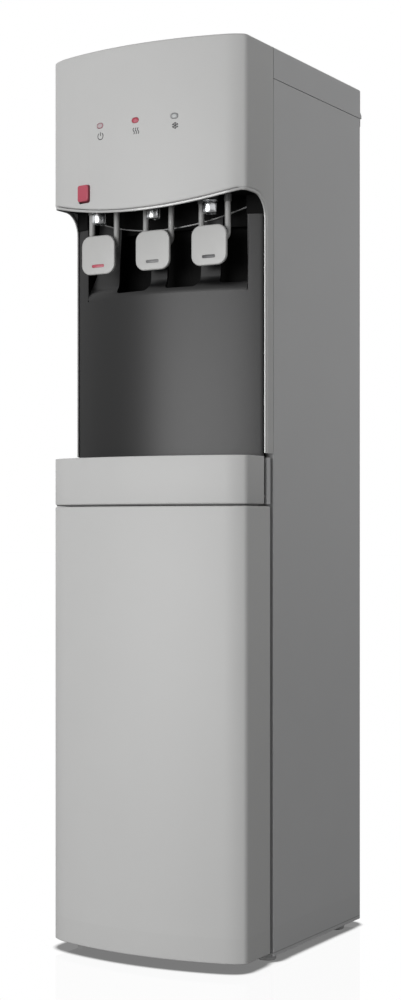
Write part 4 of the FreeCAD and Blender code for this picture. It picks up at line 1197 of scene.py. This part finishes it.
    def bar(self, x: float, z: float, length: float, degrees: float) -> Piece:
        """One stroke of a sign: a thin bar on the face.

        Args:
            x: Its middle across, before the sign is enlarged.
            z: Its middle up from the sign's own.
            length: Its length.
            degrees: How far it is turned about its middle.

        Returns:
            The closed solid.
        """
        x, z, length = x * self.icon_grow, self.icon_z + z * self.icon_grow, length * self.icon_grow
        bar = Bench.slab("icon_bar", x, z, self.stroke, length, self.stroke / 2 - OVAL, self.icon_front,
                         self.icon_rear, 4)
        Bench.turn(bar, -degrees, at(x, 0, z), "Y")
        return bar

    def bow(self, x: float, z: float, radius: float, start: float, degrees: float) -> Piece:
        """One round stroke of a sign.

        Args:
            x: Its centre across, before the sign is enlarged.
            z: Its centre up from the sign's own.
            radius: Its radius.
            start: The angle at which it starts.
            degrees: How far it goes on, anticlockwise.

        Returns:
            The closed solid.
        """
        middle = at(x * self.icon_grow, self.icon_front, self.icon_z + z * self.icon_grow)
        radius *= self.icon_grow
        inner, outer = radius - self.stroke / 2, radius + self.stroke / 2

        def spot(reach: float, angle: float) -> Vector:
            """A point at a reach and an angle from the middle."""
            turn = math.radians(angle)
            return middle + Vector((math.cos(turn), 0, math.sin(turn))) * reach * MM

        strokes = [Arc(middle, degrees, self.icon_steps, -BACK), Line(spot(inner, start + degrees)),
                   Arc(middle, degrees, self.icon_steps, BACK), Line(spot(outer, start))]
        thick = self.icon_rear - self.icon_front
        return Bench.prism("icon_bow", spot(outer, start), strokes, BACK * thick * MM)

    def build_icons(self) -> list[Piece]:
        """Plain signs under the lamps: on and off, heat, and cold.

        Returns:
            The three signs, each one mesh on the bow.
        """
        power = Bench.join("power_icon", [self.bow(0.6, 0, 3.2, 126, 288), self.bar(0.6, 2.0, 3.6, 0)])
        waves = []
        for x in (-1.6, 0.8, 3.2):
            waves += [self.bow(x + 1.0, 1.4, 1.7, 120, 120), self.bow(x - 1.0, -1.4, 1.7, -60, 120)]
        heat = Bench.join("heat_icon", waves)
        hub, arm, fork, twig, twig_length = (0.8, 0.9), 6.2, 2.0, 0.6, 1.6
        arms = [self.bar(*hub, arm, turn) for turn in (0, 60, 120)]
        for turn in range(0, 360, 60):
            angle = math.radians(turn)
            tip = (hub[0] + fork * math.sin(angle), hub[1] + fork * math.cos(angle))
            for side in (-45, 45):
                swing = math.radians(turn + side)
                arms.append(self.bar(tip[0] + twig * math.sin(swing), tip[1] + twig * math.cos(swing), twig_length,
                                     turn + side))
        cold = Bench.join("cold_icon", arms)
        angle = math.degrees(math.asin(self.lamp_x / self.plan.bow_radius))
        for icon, degrees in ((power, -angle), (cold, angle)):
            Bench.turn(icon, degrees, at(0, self.plan.bow_radius, 0))
        return [power, heat, cold]

    def build(self) -> None:
        """Builds and seats all the pieces of the head."""
        seat(self.build_face(), Finishes.shell, Body.CABINET, "shell_grey", "head_fascia")
        seat(self.build_lip(), Finishes.lip, Body.CABINET, "shell_grey")
        # The seam ring's black is painted shade in the parting line.
        seat(self.build_seam(), Finishes.black, Body.CABINET, "shell_grey")
        for name, x, finish, slot in (("power", -self.lamp_x, Finishes.power_lamp, "lamp_grey"),
                                      ("heating", 0.0, Finishes.heating_lamp, "lamp_red"),
                                      ("cooling", self.lamp_x, Finishes.cooling_lamp, "lamp_grey")):
            slug = self.lamp_slug(name + "_lens", x, 0.0)
            lens = self.rounded_front(slug, self.lens_proud, self.lens_round)
            seat(lens, finish, Body.CABINET, slot, name + "_lamp")
        for icon in self.build_icons():
            seat(Bench.smooth(icon), Finishes.icon, Body.CABINET, "black_plastic")
        slug = self.button_slug("lock_key", self.button, self.button_size, self.button_rear)
        key = self.rounded_front(slug, self.button_proud, self.button_round)
        seat(key, Finishes.red, Body.LOCK, "button_red", "lock_button")


@dataclass
class TapRow:
    """Three taps: a turned spout, a lever with two bent arms, and a paddle with its colour mark."""

    places: Triple = (-76.5, 0.0, 76.5)
    spout_depth: float = 41.0
    spout_profile: tuple[Pair, ...] = (
        (4.5, 871.7), (7.5, 871.7), (8.1, 872.2), (8.4, 873.2), (8.6, 876.0), (8.8, 880.0), (8.9, 883.0),
        (8.7, 884.2), (8.0, 884.7), (8.0, 885.2), (8.9, 885.3), (9.4, 885.7), (9.6, 886.4), (9.4, 887.1),
        (8.9, 887.5), (8.7, 888.0), (9.5, 888.3), (9.8, 889.0), (9.8, 894.0), (5.5, 894.0), (5.5, 904.0),
        (4.5, 904.0))
    spout_crease: float = 50.0
    pivot: Pair = (51.0, 912.0)
    arms: Pair = (-17.0, 18.2)
    arm_radius: float = 3.5
    arm_corners: int = 24
    bar_round: float = 0.2
    sleeve_radius: float = 4.5
    sleeve_foot: float = 885.5
    sleeve_edge: Pair = (0.5, 0.6)
    ear_radius: float = 6.5
    paddle_front: float = 37.4
    paddle_back: float = 41.6
    paddle_size: float = 46.6
    paddle_corner: float = 12.0
    paddle_level: float = 835.0
    paddle_edge: float = 1.4
    paddle_rear_edge: float = 0.8
    mark_level: float = 821.8
    mark_size: Pair = (17.2, 3.6)
    mark_play: float = 0.4
    mark_sink: float = 0.05
    mark_rear: float = 0.6
    mark_edge: float = 0.25

    @property
    def bar_level(self) -> float:
        """Height at which the arms meet the paddle."""
        return self.paddle_level + self.paddle_size / 6

    def build_arm(self, x: float) -> Piece:
        """One round arm, down from the pivot and forward in a bend to the paddle's back.

        Args:
            x: Place across.

        Returns:
            The finished mesh.
        """
        depth, level = self.pivot
        knee = self.bar_level + (depth - self.paddle_back)
        top = at(x, depth, level)
        Bench.clear()
        bpy.ops.mesh.primitive_circle_add(vertices=self.arm_corners, radius=self.arm_radius * MM, fill_type="NGON",
                                          location=top)
        arm = bpy.context.object
        bpy.ops.object.transform_apply(location=True, rotation=True, scale=True)
        Bench.edit(arm)
        Bench.sweep(top, [Line(at(x, depth, (level + knee) / 2)), Line(at(x, depth, knee)),
                          Arc(at(x, self.paddle_back, knee), 90, 10, -RIGHT)])
        return Bench.close(arm)

    def build_lever(self) -> Piece:
        """The middle lever: two arms, ears round the pin, and the bar behind the paddle.

        Returns:
            The finished mesh.
        """
        depth, level = self.pivot
        slim, ear = self.arm_radius, self.ear_radius
        pieces = []
        for x in self.arms:
            pieces.append(self.build_arm(x))
            pieces.append(Bench.slab("ear", x, level, 2 * slim, 2 * ear, slim / 2, depth - ear, depth + ear))
        pieces.append(Bench.slab("bar", sum(self.arms) / 2, self.bar_level, self.arms[1] - self.arms[0], 2 * slim,
                                 slim - self.bar_round, self.paddle_back, self.paddle_back + slim))
        return Bench.smooth(Bench.join("lever_pair", pieces), ROUND_CREASE)

    def build_sleeves(self) -> Piece:
        """The middle lever's two sleeves, which hold the arms under the deck.

        Returns:
            The finished mesh.
        """
        depth, level = self.pivot
        low, wide, slim = self.sleeve_foot, self.sleeve_radius, self.arm_radius
        inward, upward = self.sleeve_edge
        profile = [(slim, low), (wide - inward, low), (wide, low + upward), (wide, level), (slim, level)]
        pair = [Bench.lathe("sleeve", (x, depth), profile, 28) for x in self.arms]
        return Bench.smooth(Bench.join("sleeve_pair", pair), ROUND_CREASE)

    def build_paddle(self) -> Piece:
        """The middle paddle: a soft-edged plate with a seat for its mark.

        Returns:
            The finished mesh.
        """
        size = self.paddle_size
        paddle = Bench.slab("push_plate", 0.0, self.paddle_level, size, size, self.paddle_corner, self.paddle_front,
                            self.paddle_back, 12)
        front, rear = at(0, self.paddle_front, 0).y, at(0, self.paddle_back, 0).y
        Bench.bevel(paddle, lambda p: p.y < front + TOUCH * MM, self.paddle_edge, 6)
        Bench.bevel(paddle, lambda p: p.y > rear - TOUCH * MM, self.paddle_rear_edge, 3)
        width, height = self.mark_size
        Bench.shape(paddle, Bench.slab("mark_seat", 0.0, self.mark_level, width + self.mark_play,
                                       height + self.mark_play, height / 2, self.paddle_front - 2,
                                       self.paddle_front + self.mark_rear))
        return Bench.smooth(paddle)

    def build_mark(self) -> Piece:
        """The middle colour mark, a rounded bar in the paddle's seat.

        Returns:
            The finished mesh.
        """
        width, height = self.mark_size
        face = self.paddle_front + self.mark_sink
        mark = Bench.slab("mark", 0.0, self.mark_level, width, height, height / 2 - OVAL, face,
                          self.paddle_front + self.mark_rear)
        front = at(0, face, 0).y
        Bench.bevel(mark, lambda p: p.y < front + TOUCH * MM / 2, self.mark_edge, 2)
        return Bench.smooth(mark)

    def build(self) -> None:
        """Models each piece once, copies it to the three taps and seats it."""
        names = ("hot", "ambient", "cold")
        bodies = (Body.HOT, Body.AMBIENT, Body.COLD)
        marks = (Finishes.red, Finishes.grey_mark, Finishes.dark_mark)
        lever, sleeves, paddle = self.build_lever(), self.build_sleeves(), self.build_paddle()
        mark = self.build_mark()
        spout = Bench.smooth(Bench.lathe("spout", (0.0, self.spout_depth), self.spout_profile, 40), self.spout_crease)
        spouts = [Bench.copy(spout, name + "_spout", x) for name, x in zip(names, self.places)]
        for name, x, body, tone in zip(names, self.places, bodies, marks):
            seat(Bench.copy(lever, name + "_arms", x), Finishes.lever, body, "lever_grey", name + "_lever")
            seat(Bench.copy(sleeves, name + "_sleeves", x), Finishes.sleeve, body, "lever_grey")
            seat(Bench.copy(paddle, name + "_plate", x), Finishes.paddle, body, "paddle_grey", name + "_paddle")
            seat(Bench.copy(mark, name + "_mark", x), tone, body, "paddle_grey")
        seat(Bench.join("spouts", spouts), Finishes.plating, Body.CABINET, "chrome", "nozzles")
        for pattern in (lever, sleeves, paddle, mark, spout):
            bpy.data.objects.remove(pattern)


@dataclass
class Recess:
    """The dark gloss panel behind the cups, scooped behind the taps into three tongues, and what lies behind it."""

    axis: float = 397.0
    radius: float = 346.8
    wall: float = 3.0
    half: float = 128.6
    foot: float = 545.5
    top: float = 893.8
    face_steps: int = 64
    niche: float = 110.8
    niche_foot: float = 784.5
    niche_lap: float = 4.0
    niche_corner: float = 0.4
    roll: float = 20.0
    fill: float = 14.0
    roll_steps: int = 8
    scoop_steps: int = 72
    tilt: float = 36.0
    lean: float = 5.0
    cheek: float = 16.0
    cheek_start: float = 0.6
    cheek_sink: float = 0.5
    pocket_feet: tuple[float, ...] = (790.0, 791.0, 794.0)
    tongues: tuple[Pair, ...] = ((-101.0, -62.0), (-13.4, 9.0), (52.8, 76.7))
    near_corner: float = 3.0
    far_corner: float = 9.0
    sliver_foot: float = 797.0
    sliver_knee: float = 815.0
    edge: float = 0.8
    outer_edge: float = 1.2
    ledge_foot: float = 862.0
    ledge_radius: float = 280.0
    ledge_steps: int = 48
    bead_front: float = 60.4
    bead_size: float = 1.3
    bead_play: float = 1.0
    cut_front: float = 30.0
    cut_length: float = 80.0

    @property
    def face(self) -> float:
        """Depth of the panel's face in the middle."""
        return self.axis - self.radius

    def bowed(self, name: str, front: float, rear: float, half: float, low: float, high: float) -> Piece:
        """An upright plate on the panel's bow.

        Args:
            name: Name of the new piece.
            front: Depth of its front in the middle.
            rear: Depth of its rear in the middle.
            half: Half its width along its front.
            low: Height of its foot.
            high: Height of its top.

        Returns:
            The closed solid.
        """
        points = [at(0, front, low), at(0, front, high), at(0, rear, high), at(0, rear, low)]
        spread = math.degrees(math.asin(half / (self.axis - front)))
        return Bench.sector(name, points[0], Bench.ring(points), at(0, self.axis, 0), spread, self.face_steps)

    def scoop(self) -> Piece:
        """The middle of the panel, which rolls back and then stands upright again.

        Returns:
            The closed solid.
        """
        turn, lean = math.radians(self.tilt), math.radians(self.lean)
        reach = self.roll + self.fill
        near = at(0, self.face + self.roll, self.niche_foot)
        far = at(0, self.face + self.roll - reach * math.cos(turn), self.niche_foot + reach * math.sin(turn))
        out = Vector((0, math.cos(lean), -math.sin(lean))) * MM
        rise = self.top - (far + out * self.fill).z / MM
        edge = depth_of(far + out * self.fill) + rise * math.tan(lean)
        start = at(0, self.face, self.niche_foot)
        bend, steps = self.tilt - self.lean, self.roll_steps
        strokes = [Arc(near, self.tilt, steps, -RIGHT), Arc(far, bend, steps, RIGHT), Line(at(0, edge, self.top)),
                   Line(at(0, edge + self.wall, self.top)), Line(far + out * (self.fill + self.wall)),
                   Arc(far, bend, steps, -RIGHT), Arc(near, self.tilt, steps, RIGHT), Line(start)]
        spread = math.degrees(math.asin((self.niche + self.niche_lap) / self.radius))
        return Bench.sector("recess_scoop", start, strokes, at(0, self.axis, 0), spread, self.scoop_steps)

    def cutter(self, name: str, left: float, right: float, start: Vector, lower: Sequence[Stroke]) -> Piece:
        """A solid through the panel: its lower edge as drawn, its sides upright, its top above the panel.

        Args:
            name: Name of the new solid.
            left: Its left side.
            right: Its right side.
            start: Where the lower edge starts, on the left.
            lower: The strokes of the lower edge.

        Returns:
            The closed solid.
        """
        front, high = self.cut_front, self.top + SPARE
        strokes = [*lower, Line(at(right, front, high)), Line(at(left, front, high)), Line(start)]
        return Bench.prism(name, start, strokes, BACK * self.cut_length * MM)

    def above(self, grow: float) -> Piece:
        """A cutter for all that is above the ledge, which hangs like the head's own lower edge.

        Args:
            grow: How far the cutter is raised.

        Returns:
            The closed solid.
        """
        front, half, radius = self.cut_front, self.niche, self.ledge_radius
        middle = self.ledge_foot + grow + radius
        start = at(-half, front, middle - math.sqrt(radius ** 2 - half ** 2))
        spread = 2 * math.degrees(math.asin(half / radius))
        return self.cutter("above_ledge", -half, half, start,
                           [Arc(at(0, front, middle), spread, self.ledge_steps, -BACK)])

    def pocket(self, left: float, right: float, low: float) -> Piece:
        """A cutter for one opening: nearly square at its lower left, round at its lower right.

        Args:
            left: Its left side.
            right: Its right side.
            low: Height of its foot.

        Returns:
            The closed solid.
        """
        front, near = self.cut_front, self.near_corner
        far = min(self.far_corner, right - left - 2 * near)
        return self.cutter("pocket", left, right, at(left, front, low + near), [
            Arc(at(left + near, front, low + near), 90, 4, -BACK), Line(at(right - far, front, low)),
            Arc(at(right - far, front, low + far), 90, 10, -BACK)])

    def sliver(self) -> Piece:
        """A cutter for the narrow opening at the left, which ends in a point."""
        front, left, right = self.cut_front, -self.niche, self.tongues[0][0]
        return self.cutter("sliver", left, right, at(left, front, self.sliver_foot),
                           [Line(at(right, front, self.sliver_knee))])

    def on_edge(self, point: Vector, x: float) -> bool:
        """Whether a point lies on the panel's bowed face, at a distance to the left or right."""
        reach = math.hypot(point.x / MM, depth_of(point) - self.axis)
        return abs(reach - self.radius) < 2 * TOUCH and abs(abs(point.x) / MM - x) < TOUCH

    def build_panel(self) -> Piece:
        """The panel: margins and lower face, scoop, side walls of the scoop, and the four openings.

        Returns:
            The finished mesh.
        """
        panel = self.bowed("recess_face", self.face, self.face + self.wall, self.half, self.foot, self.top)
        tall = self.top - self.niche_foot
        middle = self.niche_foot + tall / 2
        Bench.shape(panel, Bench.slab("niche", 0.0, middle + SPARE, 2 * self.niche, tall + 2 * SPARE,
                                      self.niche_corner, self.cut_front, self.cut_front + self.cut_length))
        Bench.shape(panel, self.scoop(), Operation.ADD)
        rim = self.axis - math.sqrt(self.radius ** 2 - self.niche ** 2) + self.cheek_sink
        for side in (-1, 1):
            wall = Bench.slab("cheek", side * (self.niche + self.wall / 2), middle, self.wall, tall,
                              self.niche_corner, rim + self.cheek_start, rim + self.cheek)
            Bench.shape(panel, wall, Operation.ADD)
        rights = [tongue[0] for tongue in self.tongues[1:]] + [self.niche]
        for (_, left), right, low in zip(self.tongues, rights, self.pocket_feet):
            Bench.shape(panel, self.pocket(left, right, low))
        Bench.shape(panel, self.sliver())
        Bench.shape(panel, self.above(0.0))
        Bench.bevel(panel, lambda p: self.on_edge(p, self.niche), self.edge, 3)
        Bench.bevel(panel, lambda p: self.on_edge(p, self.half), self.outer_edge, 4)
        return Bench.smooth(panel)

    def build_bead(self) -> Piece:
        """The narrow ledge along the top of the tongues, whose lighter grey among the black is a painted highlight on
        its edge.

        Returns:
            The finished mesh.
        """
        bead = self.bowed("ledge_bead", self.bead_front, self.bead_front + self.wall, self.niche - self.bead_play,
                          self.ledge_foot - SPARE, self.top)
        Bench.shape(bead, self.above(-self.bead_size / 2), Operation.KEEP)
        Bench.shape(bead, self.above(self.bead_size / 2))
        return Bench.smooth(bead)

    def build(self) -> None:
        """Builds the panel and the bead, and dresses the liner and the deck."""
        seat(self.build_panel(), Finishes.gloss, Body.CABINET, "recess_dark", "recess_panel")
        # The bead's lighter grey is a painted highlight along the ledge.
        seat(self.build_bead(), Finishes.bead, Body.CABINET, "black_plastic")
        dress(Finishes.black, "alcove_liner", "tap_deck", "tap_bodies")
        dress(Finishes.steel, "lever_pins")


@dataclass
class Front:
    """Tray with its sill, its housing and grille, and the door with its liner and catch."""

    plan: BowPlan = BowPlan()
    wall: float = 2.5
    edge: float = 1.9
    edge_steps: int = 4
    rim: float = 0.9
    tray_foot: float = 534.8
    tray_top: float = 590.6
    tray_rear: float = 69.3
    tray_bow: float = 347.6
    tray_floor: float = 11.0
    ledge: float = 2.5
    disc_steps: int = 240
    seat_height: float = 586.5
    grille_top: float = 589.0
    grille_play: float = 0.3
    slot_width: float = 4.0
    slot_height: float = 20.0
    slot_corner: float = 0.5
    slot_step: float = 9.0
    slots_each_side: int = 11
    slot_front: float = 386.0
    slot_rear: float = 358.6
    sill_inset: float = 1.6
    sill_rear: float = 58.0
    sill_foot: float = 533.3
    sill_lap: float = 0.1
    sill_edge: float = 0.4
    door_foot: float = 10.8
    door_top: float = 532.7
    door_rear: float = 84.0
    hinge: Pair = (-120.5, 72.0)
    socket_radius: float = 7.0
    socket_core: float = 0.5
    socket_reach: float = 14.5
    socket_play: float = 0.3
    pin_radius: float = 3.05

    def skin(self, name: str, rear: float, low: float, high: float, top_round: float) -> Piece:
        """A bowed block with soft lower and upper edges and a flat rear.

        Args:
            name: Name of the new piece.
            rear: Depth of its rear.
            low: Height of its foot.
            high: Height of its top.
            top_round: Width of its upper rounding.

        Returns:
            The closed solid.
        """
        spare, steps = 2 * SPARE, self.edge_steps
        block = self.plan.block(name, 0.0, rear + spare, low, high)
        Bench.bevel(block, lambda p: p.z < (low + TOUCH) * MM and self.plan.on_skin(p, 0.0), self.edge, steps)
        Bench.bevel(block, lambda p: p.z > (high - TOUCH) * MM and self.plan.on_skin(p, 0.0), top_round, steps)
        middle, tall = (low + high) / 2, high - low
        Bench.shape(block, Bench.slab("rear_cut", 0.0, middle, WIDE, tall + 4 * spare, 1.0, rear, rear + 2 * spare))
        return block

    def disc(self, radius: float) -> Piece:
        """A round cutter on the axis of the bow, as tall as the tray and more."""
        low, high = self.tray_foot - 2 * SPARE, self.tray_top + 2 * SPARE
        return Bench.rod("disc", (0.0, self.plan.bow_radius), 0.0, radius, low, high, self.disc_steps)

    def crescent(self, name: str, inset: float, low: float, high: float) -> Piece:
        """A solid between the bowed front and the panel.

        Args:
            name: Name of the new piece.
            inset: How far it lies in from the tray's outline.
            low: Height of its foot.
            high: Height of its top.

        Returns:
            The closed solid.
        """
        room = self.plan.block(name, inset, self.tray_rear - inset, low, high)
        Bench.shape(room, self.disc(self.tray_bow + inset))
        return room

    def build_tray(self) -> Piece:
        """The tray: a tall bowed front round a basin, with a ledge for the grille.

        Returns:
            The finished mesh.
        """
        tray = self.skin("tray_shell", self.tray_rear, self.tray_foot, self.tray_top, self.rim)
        Bench.shape(tray, self.disc(self.tray_bow))
        floor = self.tray_foot + self.tray_floor
        for inset, low in ((self.wall + self.ledge, floor + self.wall), (self.wall, self.seat_height)):
            Bench.shape(tray, self.crescent("tray_room", inset, low, self.tray_top + SPARE))
        Bench.shape(tray, self.plan.block("tray_under", self.wall, self.door_rear, self.tray_foot - SPARE, floor))
        return Bench.smooth(tray)

    def build_grille(self) -> Piece:
        """The slotted plate on the tray's ledge.

        Returns:
            The finished mesh.
        """
        bow = self.plan.bow_radius
        plate = self.crescent("grille_plate", self.wall + self.grille_play, self.seat_height, self.grille_top)
        slots = []
        for step in range(-self.slots_each_side, self.slots_each_side + 1):
            x = step * self.slot_step
            near, far = (bow - math.sqrt(radius ** 2 - x ** 2) for radius in (self.slot_front, self.slot_rear))
            slots.append(Bench.slab("slot", x, self.seat_height, self.slot_width, self.slot_height,
                                    self.slot_corner, near, far, 2))
        Bench.shape(plate, Bench.join("slots", slots))
        return Bench.smooth(plate)

    def build_door(self) -> Piece:
        """The door's skin, with its flanges all round and the two hinge sockets.

        Returns:
            The finished mesh.
        """
        foot, top, reach, play = self.door_foot, self.door_top, self.socket_reach, self.socket_play
        door = self.skin("door_shell", self.door_rear, foot, top, self.edge)
        Bench.shape(door, self.plan.block("door_core", self.wall, self.door_rear + SPARE, foot + self.wall,
                                          top - self.wall))
        for low, high in ((foot + play, foot + reach), (top - reach, top - play)):
            Bench.shape(door, Bench.rod("socket", self.hinge, self.socket_core, self.socket_radius, low, high, 40),
                        Operation.ADD)
            Bench.shape(door, Bench.rod("bore", self.hinge, 0.0, self.pin_radius, low - SPARE, high + SPARE, 32))
        return Bench.smooth(door)

    def build_sill(self) -> Piece:
        """The sill under the tray, which closes the seam over the door; its dark colour is painted shade in the seam.

        Returns:
            The finished mesh.
        """
        sill = self.plan.block("tray_sill", self.sill_inset, self.sill_rear, self.sill_foot,
                               self.tray_foot + self.sill_lap)
        Bench.bevel(sill, lambda p: p.z < (self.sill_foot + TOUCH) * MM, self.sill_edge, 2)
        return Bench.smooth(sill)

    def build(self) -> None:
        """Builds tray, sill, grille and door, and dresses the other pieces below the recess."""
        seat(self.build_tray(), Finishes.shell, Body.TRAY, "shell_grey", "drip_tray")
        # The sill's dark finish is painted shade in the seam.
        seat(self.build_sill(), Finishes.seam, Body.TRAY, "shell_grey")
        seat(self.build_grille(), Finishes.grille, Body.GRILLE, "grille_dark", "drip_grille")
        seat(self.build_door(), Finishes.shell, Body.DOOR, "shell_grey", "door_outer")
        dress(Finishes.side, "tray_housing")
        dress(Finishes.liner, "door_liner")
        dress(Finishes.black, "door_magnet")
        dress(Finishes.steel, "magnet_strike", "hinge_pins")


@dataclass
class Cabinet:
    """The steel body: sides, cap, base and feet."""

    def build(self) -> None:
        """Dresses the outside of the body."""
        dress(Finishes.side, "left_side_panel", "right_side_panel")
        dress(Finishes.cap, "top_cover")
        dress(Finishes.zinc, "base_pan", "back_plate")
        dress(Finishes.black, "rear_grip")
        dress(Finishes.foot, "feet")
        dress(Finishes.steel, "back_screws")


@dataclass
class Rear:
    """Condenser, switches and fittings on the back."""

    def build(self) -> None:
        """Dresses the pieces on the back."""
        dress(Finishes.machine, "condenser")
        dress(Finishes.black, "switch_bezel", "cord_gland", "control_box")
        dress(Finishes.switch_red, "hot_switch")
        dress(Finishes.switch_green, "cold_switch")
        dress(Finishes.fitting, "water_inlet", "drain_spout", "drain_cap")


@dataclass
class Inside:
    """Filters, tanks, hoses, cooling machine and lamp board."""

    def build(self) -> None:
        """Dresses the pieces inside the body."""
        dress(Finishes.liner, "filter_bay")
        dress(Finishes.fitting, "filter_manifold")
        dress(Finishes.filter, "first_filter", "second_filter", "third_filter")
        dress(Finishes.steel, "hot_tank", "cold_tank")
        dress(Finishes.foam, "hot_tank_jacket", "cold_tank_jacket")
        dress(Finishes.zinc, "tank_shelf", "tank_stand")
        dress(Finishes.hose, "tap_hoses")
        dress(Finishes.machine, "compressor")
        dress(Finishes.rubber, "compressor_mounts")
        dress(Finishes.black, "relay_cover")
        dress(Finishes.copper, "filter_drier")
        dress(Finishes.board, "lamp_board")


@dataclass(frozen=True)
class SoftLamp:
    """A soft rectangular lamp: its place and aim in metres, its width and height, and its power in watts."""

    name: str
    place: Triple
    aim: Triple
    size: Pair
    power: float

    def build(self) -> None:
        """Adds the lamp to the scene, turned to its aim."""
        data = bpy.data.lights.new(self.name, "AREA")
        data.shape = "RECTANGLE"
        data.size, data.size_y = self.size
        data.energy = self.power
        lamp = bpy.data.objects.new(self.name, data)
        lamp.location = self.place
        lamp.rotation_euler = (Vector(self.aim) - Vector(self.place)).to_track_quat("-Z", "Y").to_euler()
        bpy.context.scene.collection.objects.link(lamp)


@dataclass
class Studio:
    """Camera, white floor, white world and soft lamps."""

    camera_place: Triple = (1.10484, -1.92470, 0.50655)
    yaw: float = 0.52615
    sensor: float = 36.0
    lens: float = 64.22
    shift: Pair = (0.0005, 0.0286)
    floor_size: float = 60.0
    floor_grey: Colour = (0.5, 0.5, 0.5)
    floor_rough: float = 0.9
    shadow_reach: float = 0.02
    shadow_samples: int = 48
    shadow_ramp: Pair = (0.64, 0.82)
    shadow: float = 0.2
    wet: float = 0.05
    wet_rough: float = 0.03
    ambient: float = 0.25
    lamps: tuple[SoftLamp, ...] = (
        SoftLamp("key", (-0.67, -4.0, 0.8), (-0.2, 0.0, 0.55), (3.47, 1.27), 115.0),
        SoftLamp("fill", (2.4, 1.0, 2.3), (0.0, 0.1, 0.8), (1.6, 1.6), 9.0))

    def build_camera(self) -> None:
        """Level camera at the photograph's place."""
        data = bpy.data.cameras.new("camera")
        data.sensor_width = self.sensor
        data.lens = self.lens
        data.shift_x, data.shift_y = self.shift
        camera = bpy.data.objects.new("camera", data)
        camera.location = self.camera_place
        camera.rotation_euler = (math.pi / 2, 0.0, self.yaw)
        bpy.context.scene.collection.objects.link(camera)
        bpy.context.scene.camera = camera

    def build_floor(self) -> None:
        """White floor that keeps the shadow under the cooler and a faint reflection."""
        Bench.clear()
        bpy.ops.mesh.primitive_plane_add(size=self.floor_size, location=(0, 0, 0))
        floor = bpy.context.object
        floor.name = "floor"
        graph = Paint("finish_floor")
        graph.give(Base_Color=self.floor_grey, Roughness=self.floor_rough)
        near = graph.value("ShaderNodeAmbientOcclusion", {"samples": self.shadow_samples},
                           {"Distance": self.shadow_reach}, "AO")
        dark_to, light_from = self.shadow_ramp
        stops = tuple((place, (tone, tone, tone)) for place, tone in ((0.0, 0.0), (dark_to, 0.0), (light_from, 1.0)))
        shade = graph.value("ShaderNodeValToRGB", {"stops": stops}, {"Fac": near})
        dark, white = (graph.value("ShaderNodeEmission", None, {"Color": WHITE, "Strength": strength})
                       for strength in (self.shadow, 1.0))
        gloss = graph.value("ShaderNodeBsdfGlossy", None, {"Color": WHITE, "Roughness": self.wet_rough})
        wet = graph.blend(self.wet, graph.blend(shade, dark, white), gloss)
        camera_ray = graph.value("ShaderNodeLightPath", output="Is Camera Ray")
        graph.feed(graph.output.inputs["Surface"], graph.blend(camera_ray, graph.out(graph.shader), wet))
        floor.data.materials.append(graph.material)

    def build_world(self) -> None:
        """White to the eye and in reflections, grey as a light."""
        world = bpy.data.worlds.new("studio")
        bpy.context.scene.world = world
        world.use_nodes = True
        graph = Graph(world.node_tree)
        path = graph.node("ShaderNodeLightPath")
        camera, glossy, through = (graph.out(path, f"Is {ray} Ray") for ray in ("Camera", "Glossy", "Transmission"))
        shown = camera.most(glossy).most(through)
        sky = graph.value("ShaderNodeBackground", None, {
            "Color": WHITE, "Strength": self.ambient + shown * (1 - self.ambient)})
        graph.node("ShaderNodeOutputWorld", None, {"Surface": sky})

    def build(self) -> None:
        """Sets the stage."""
        self.build_camera()
        self.build_floor()
        self.build_world()
        for lamp in self.lamps:
            lamp.build()
        bpy.context.scene.view_settings.view_transform = "Standard"


def main() -> None:
    """Builds the cooler and its stage in order."""
    logging.basicConfig(level=logging.INFO, format="%(name)s %(message)s")
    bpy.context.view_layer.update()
    for part in (Studio(), Head(), TapRow(), Recess(), Front(), Cabinet(), Rear(), Inside()):
        part.build()
        LOG.info("finished %s", type(part).__name__)


if __name__ == "__main__":
    main()
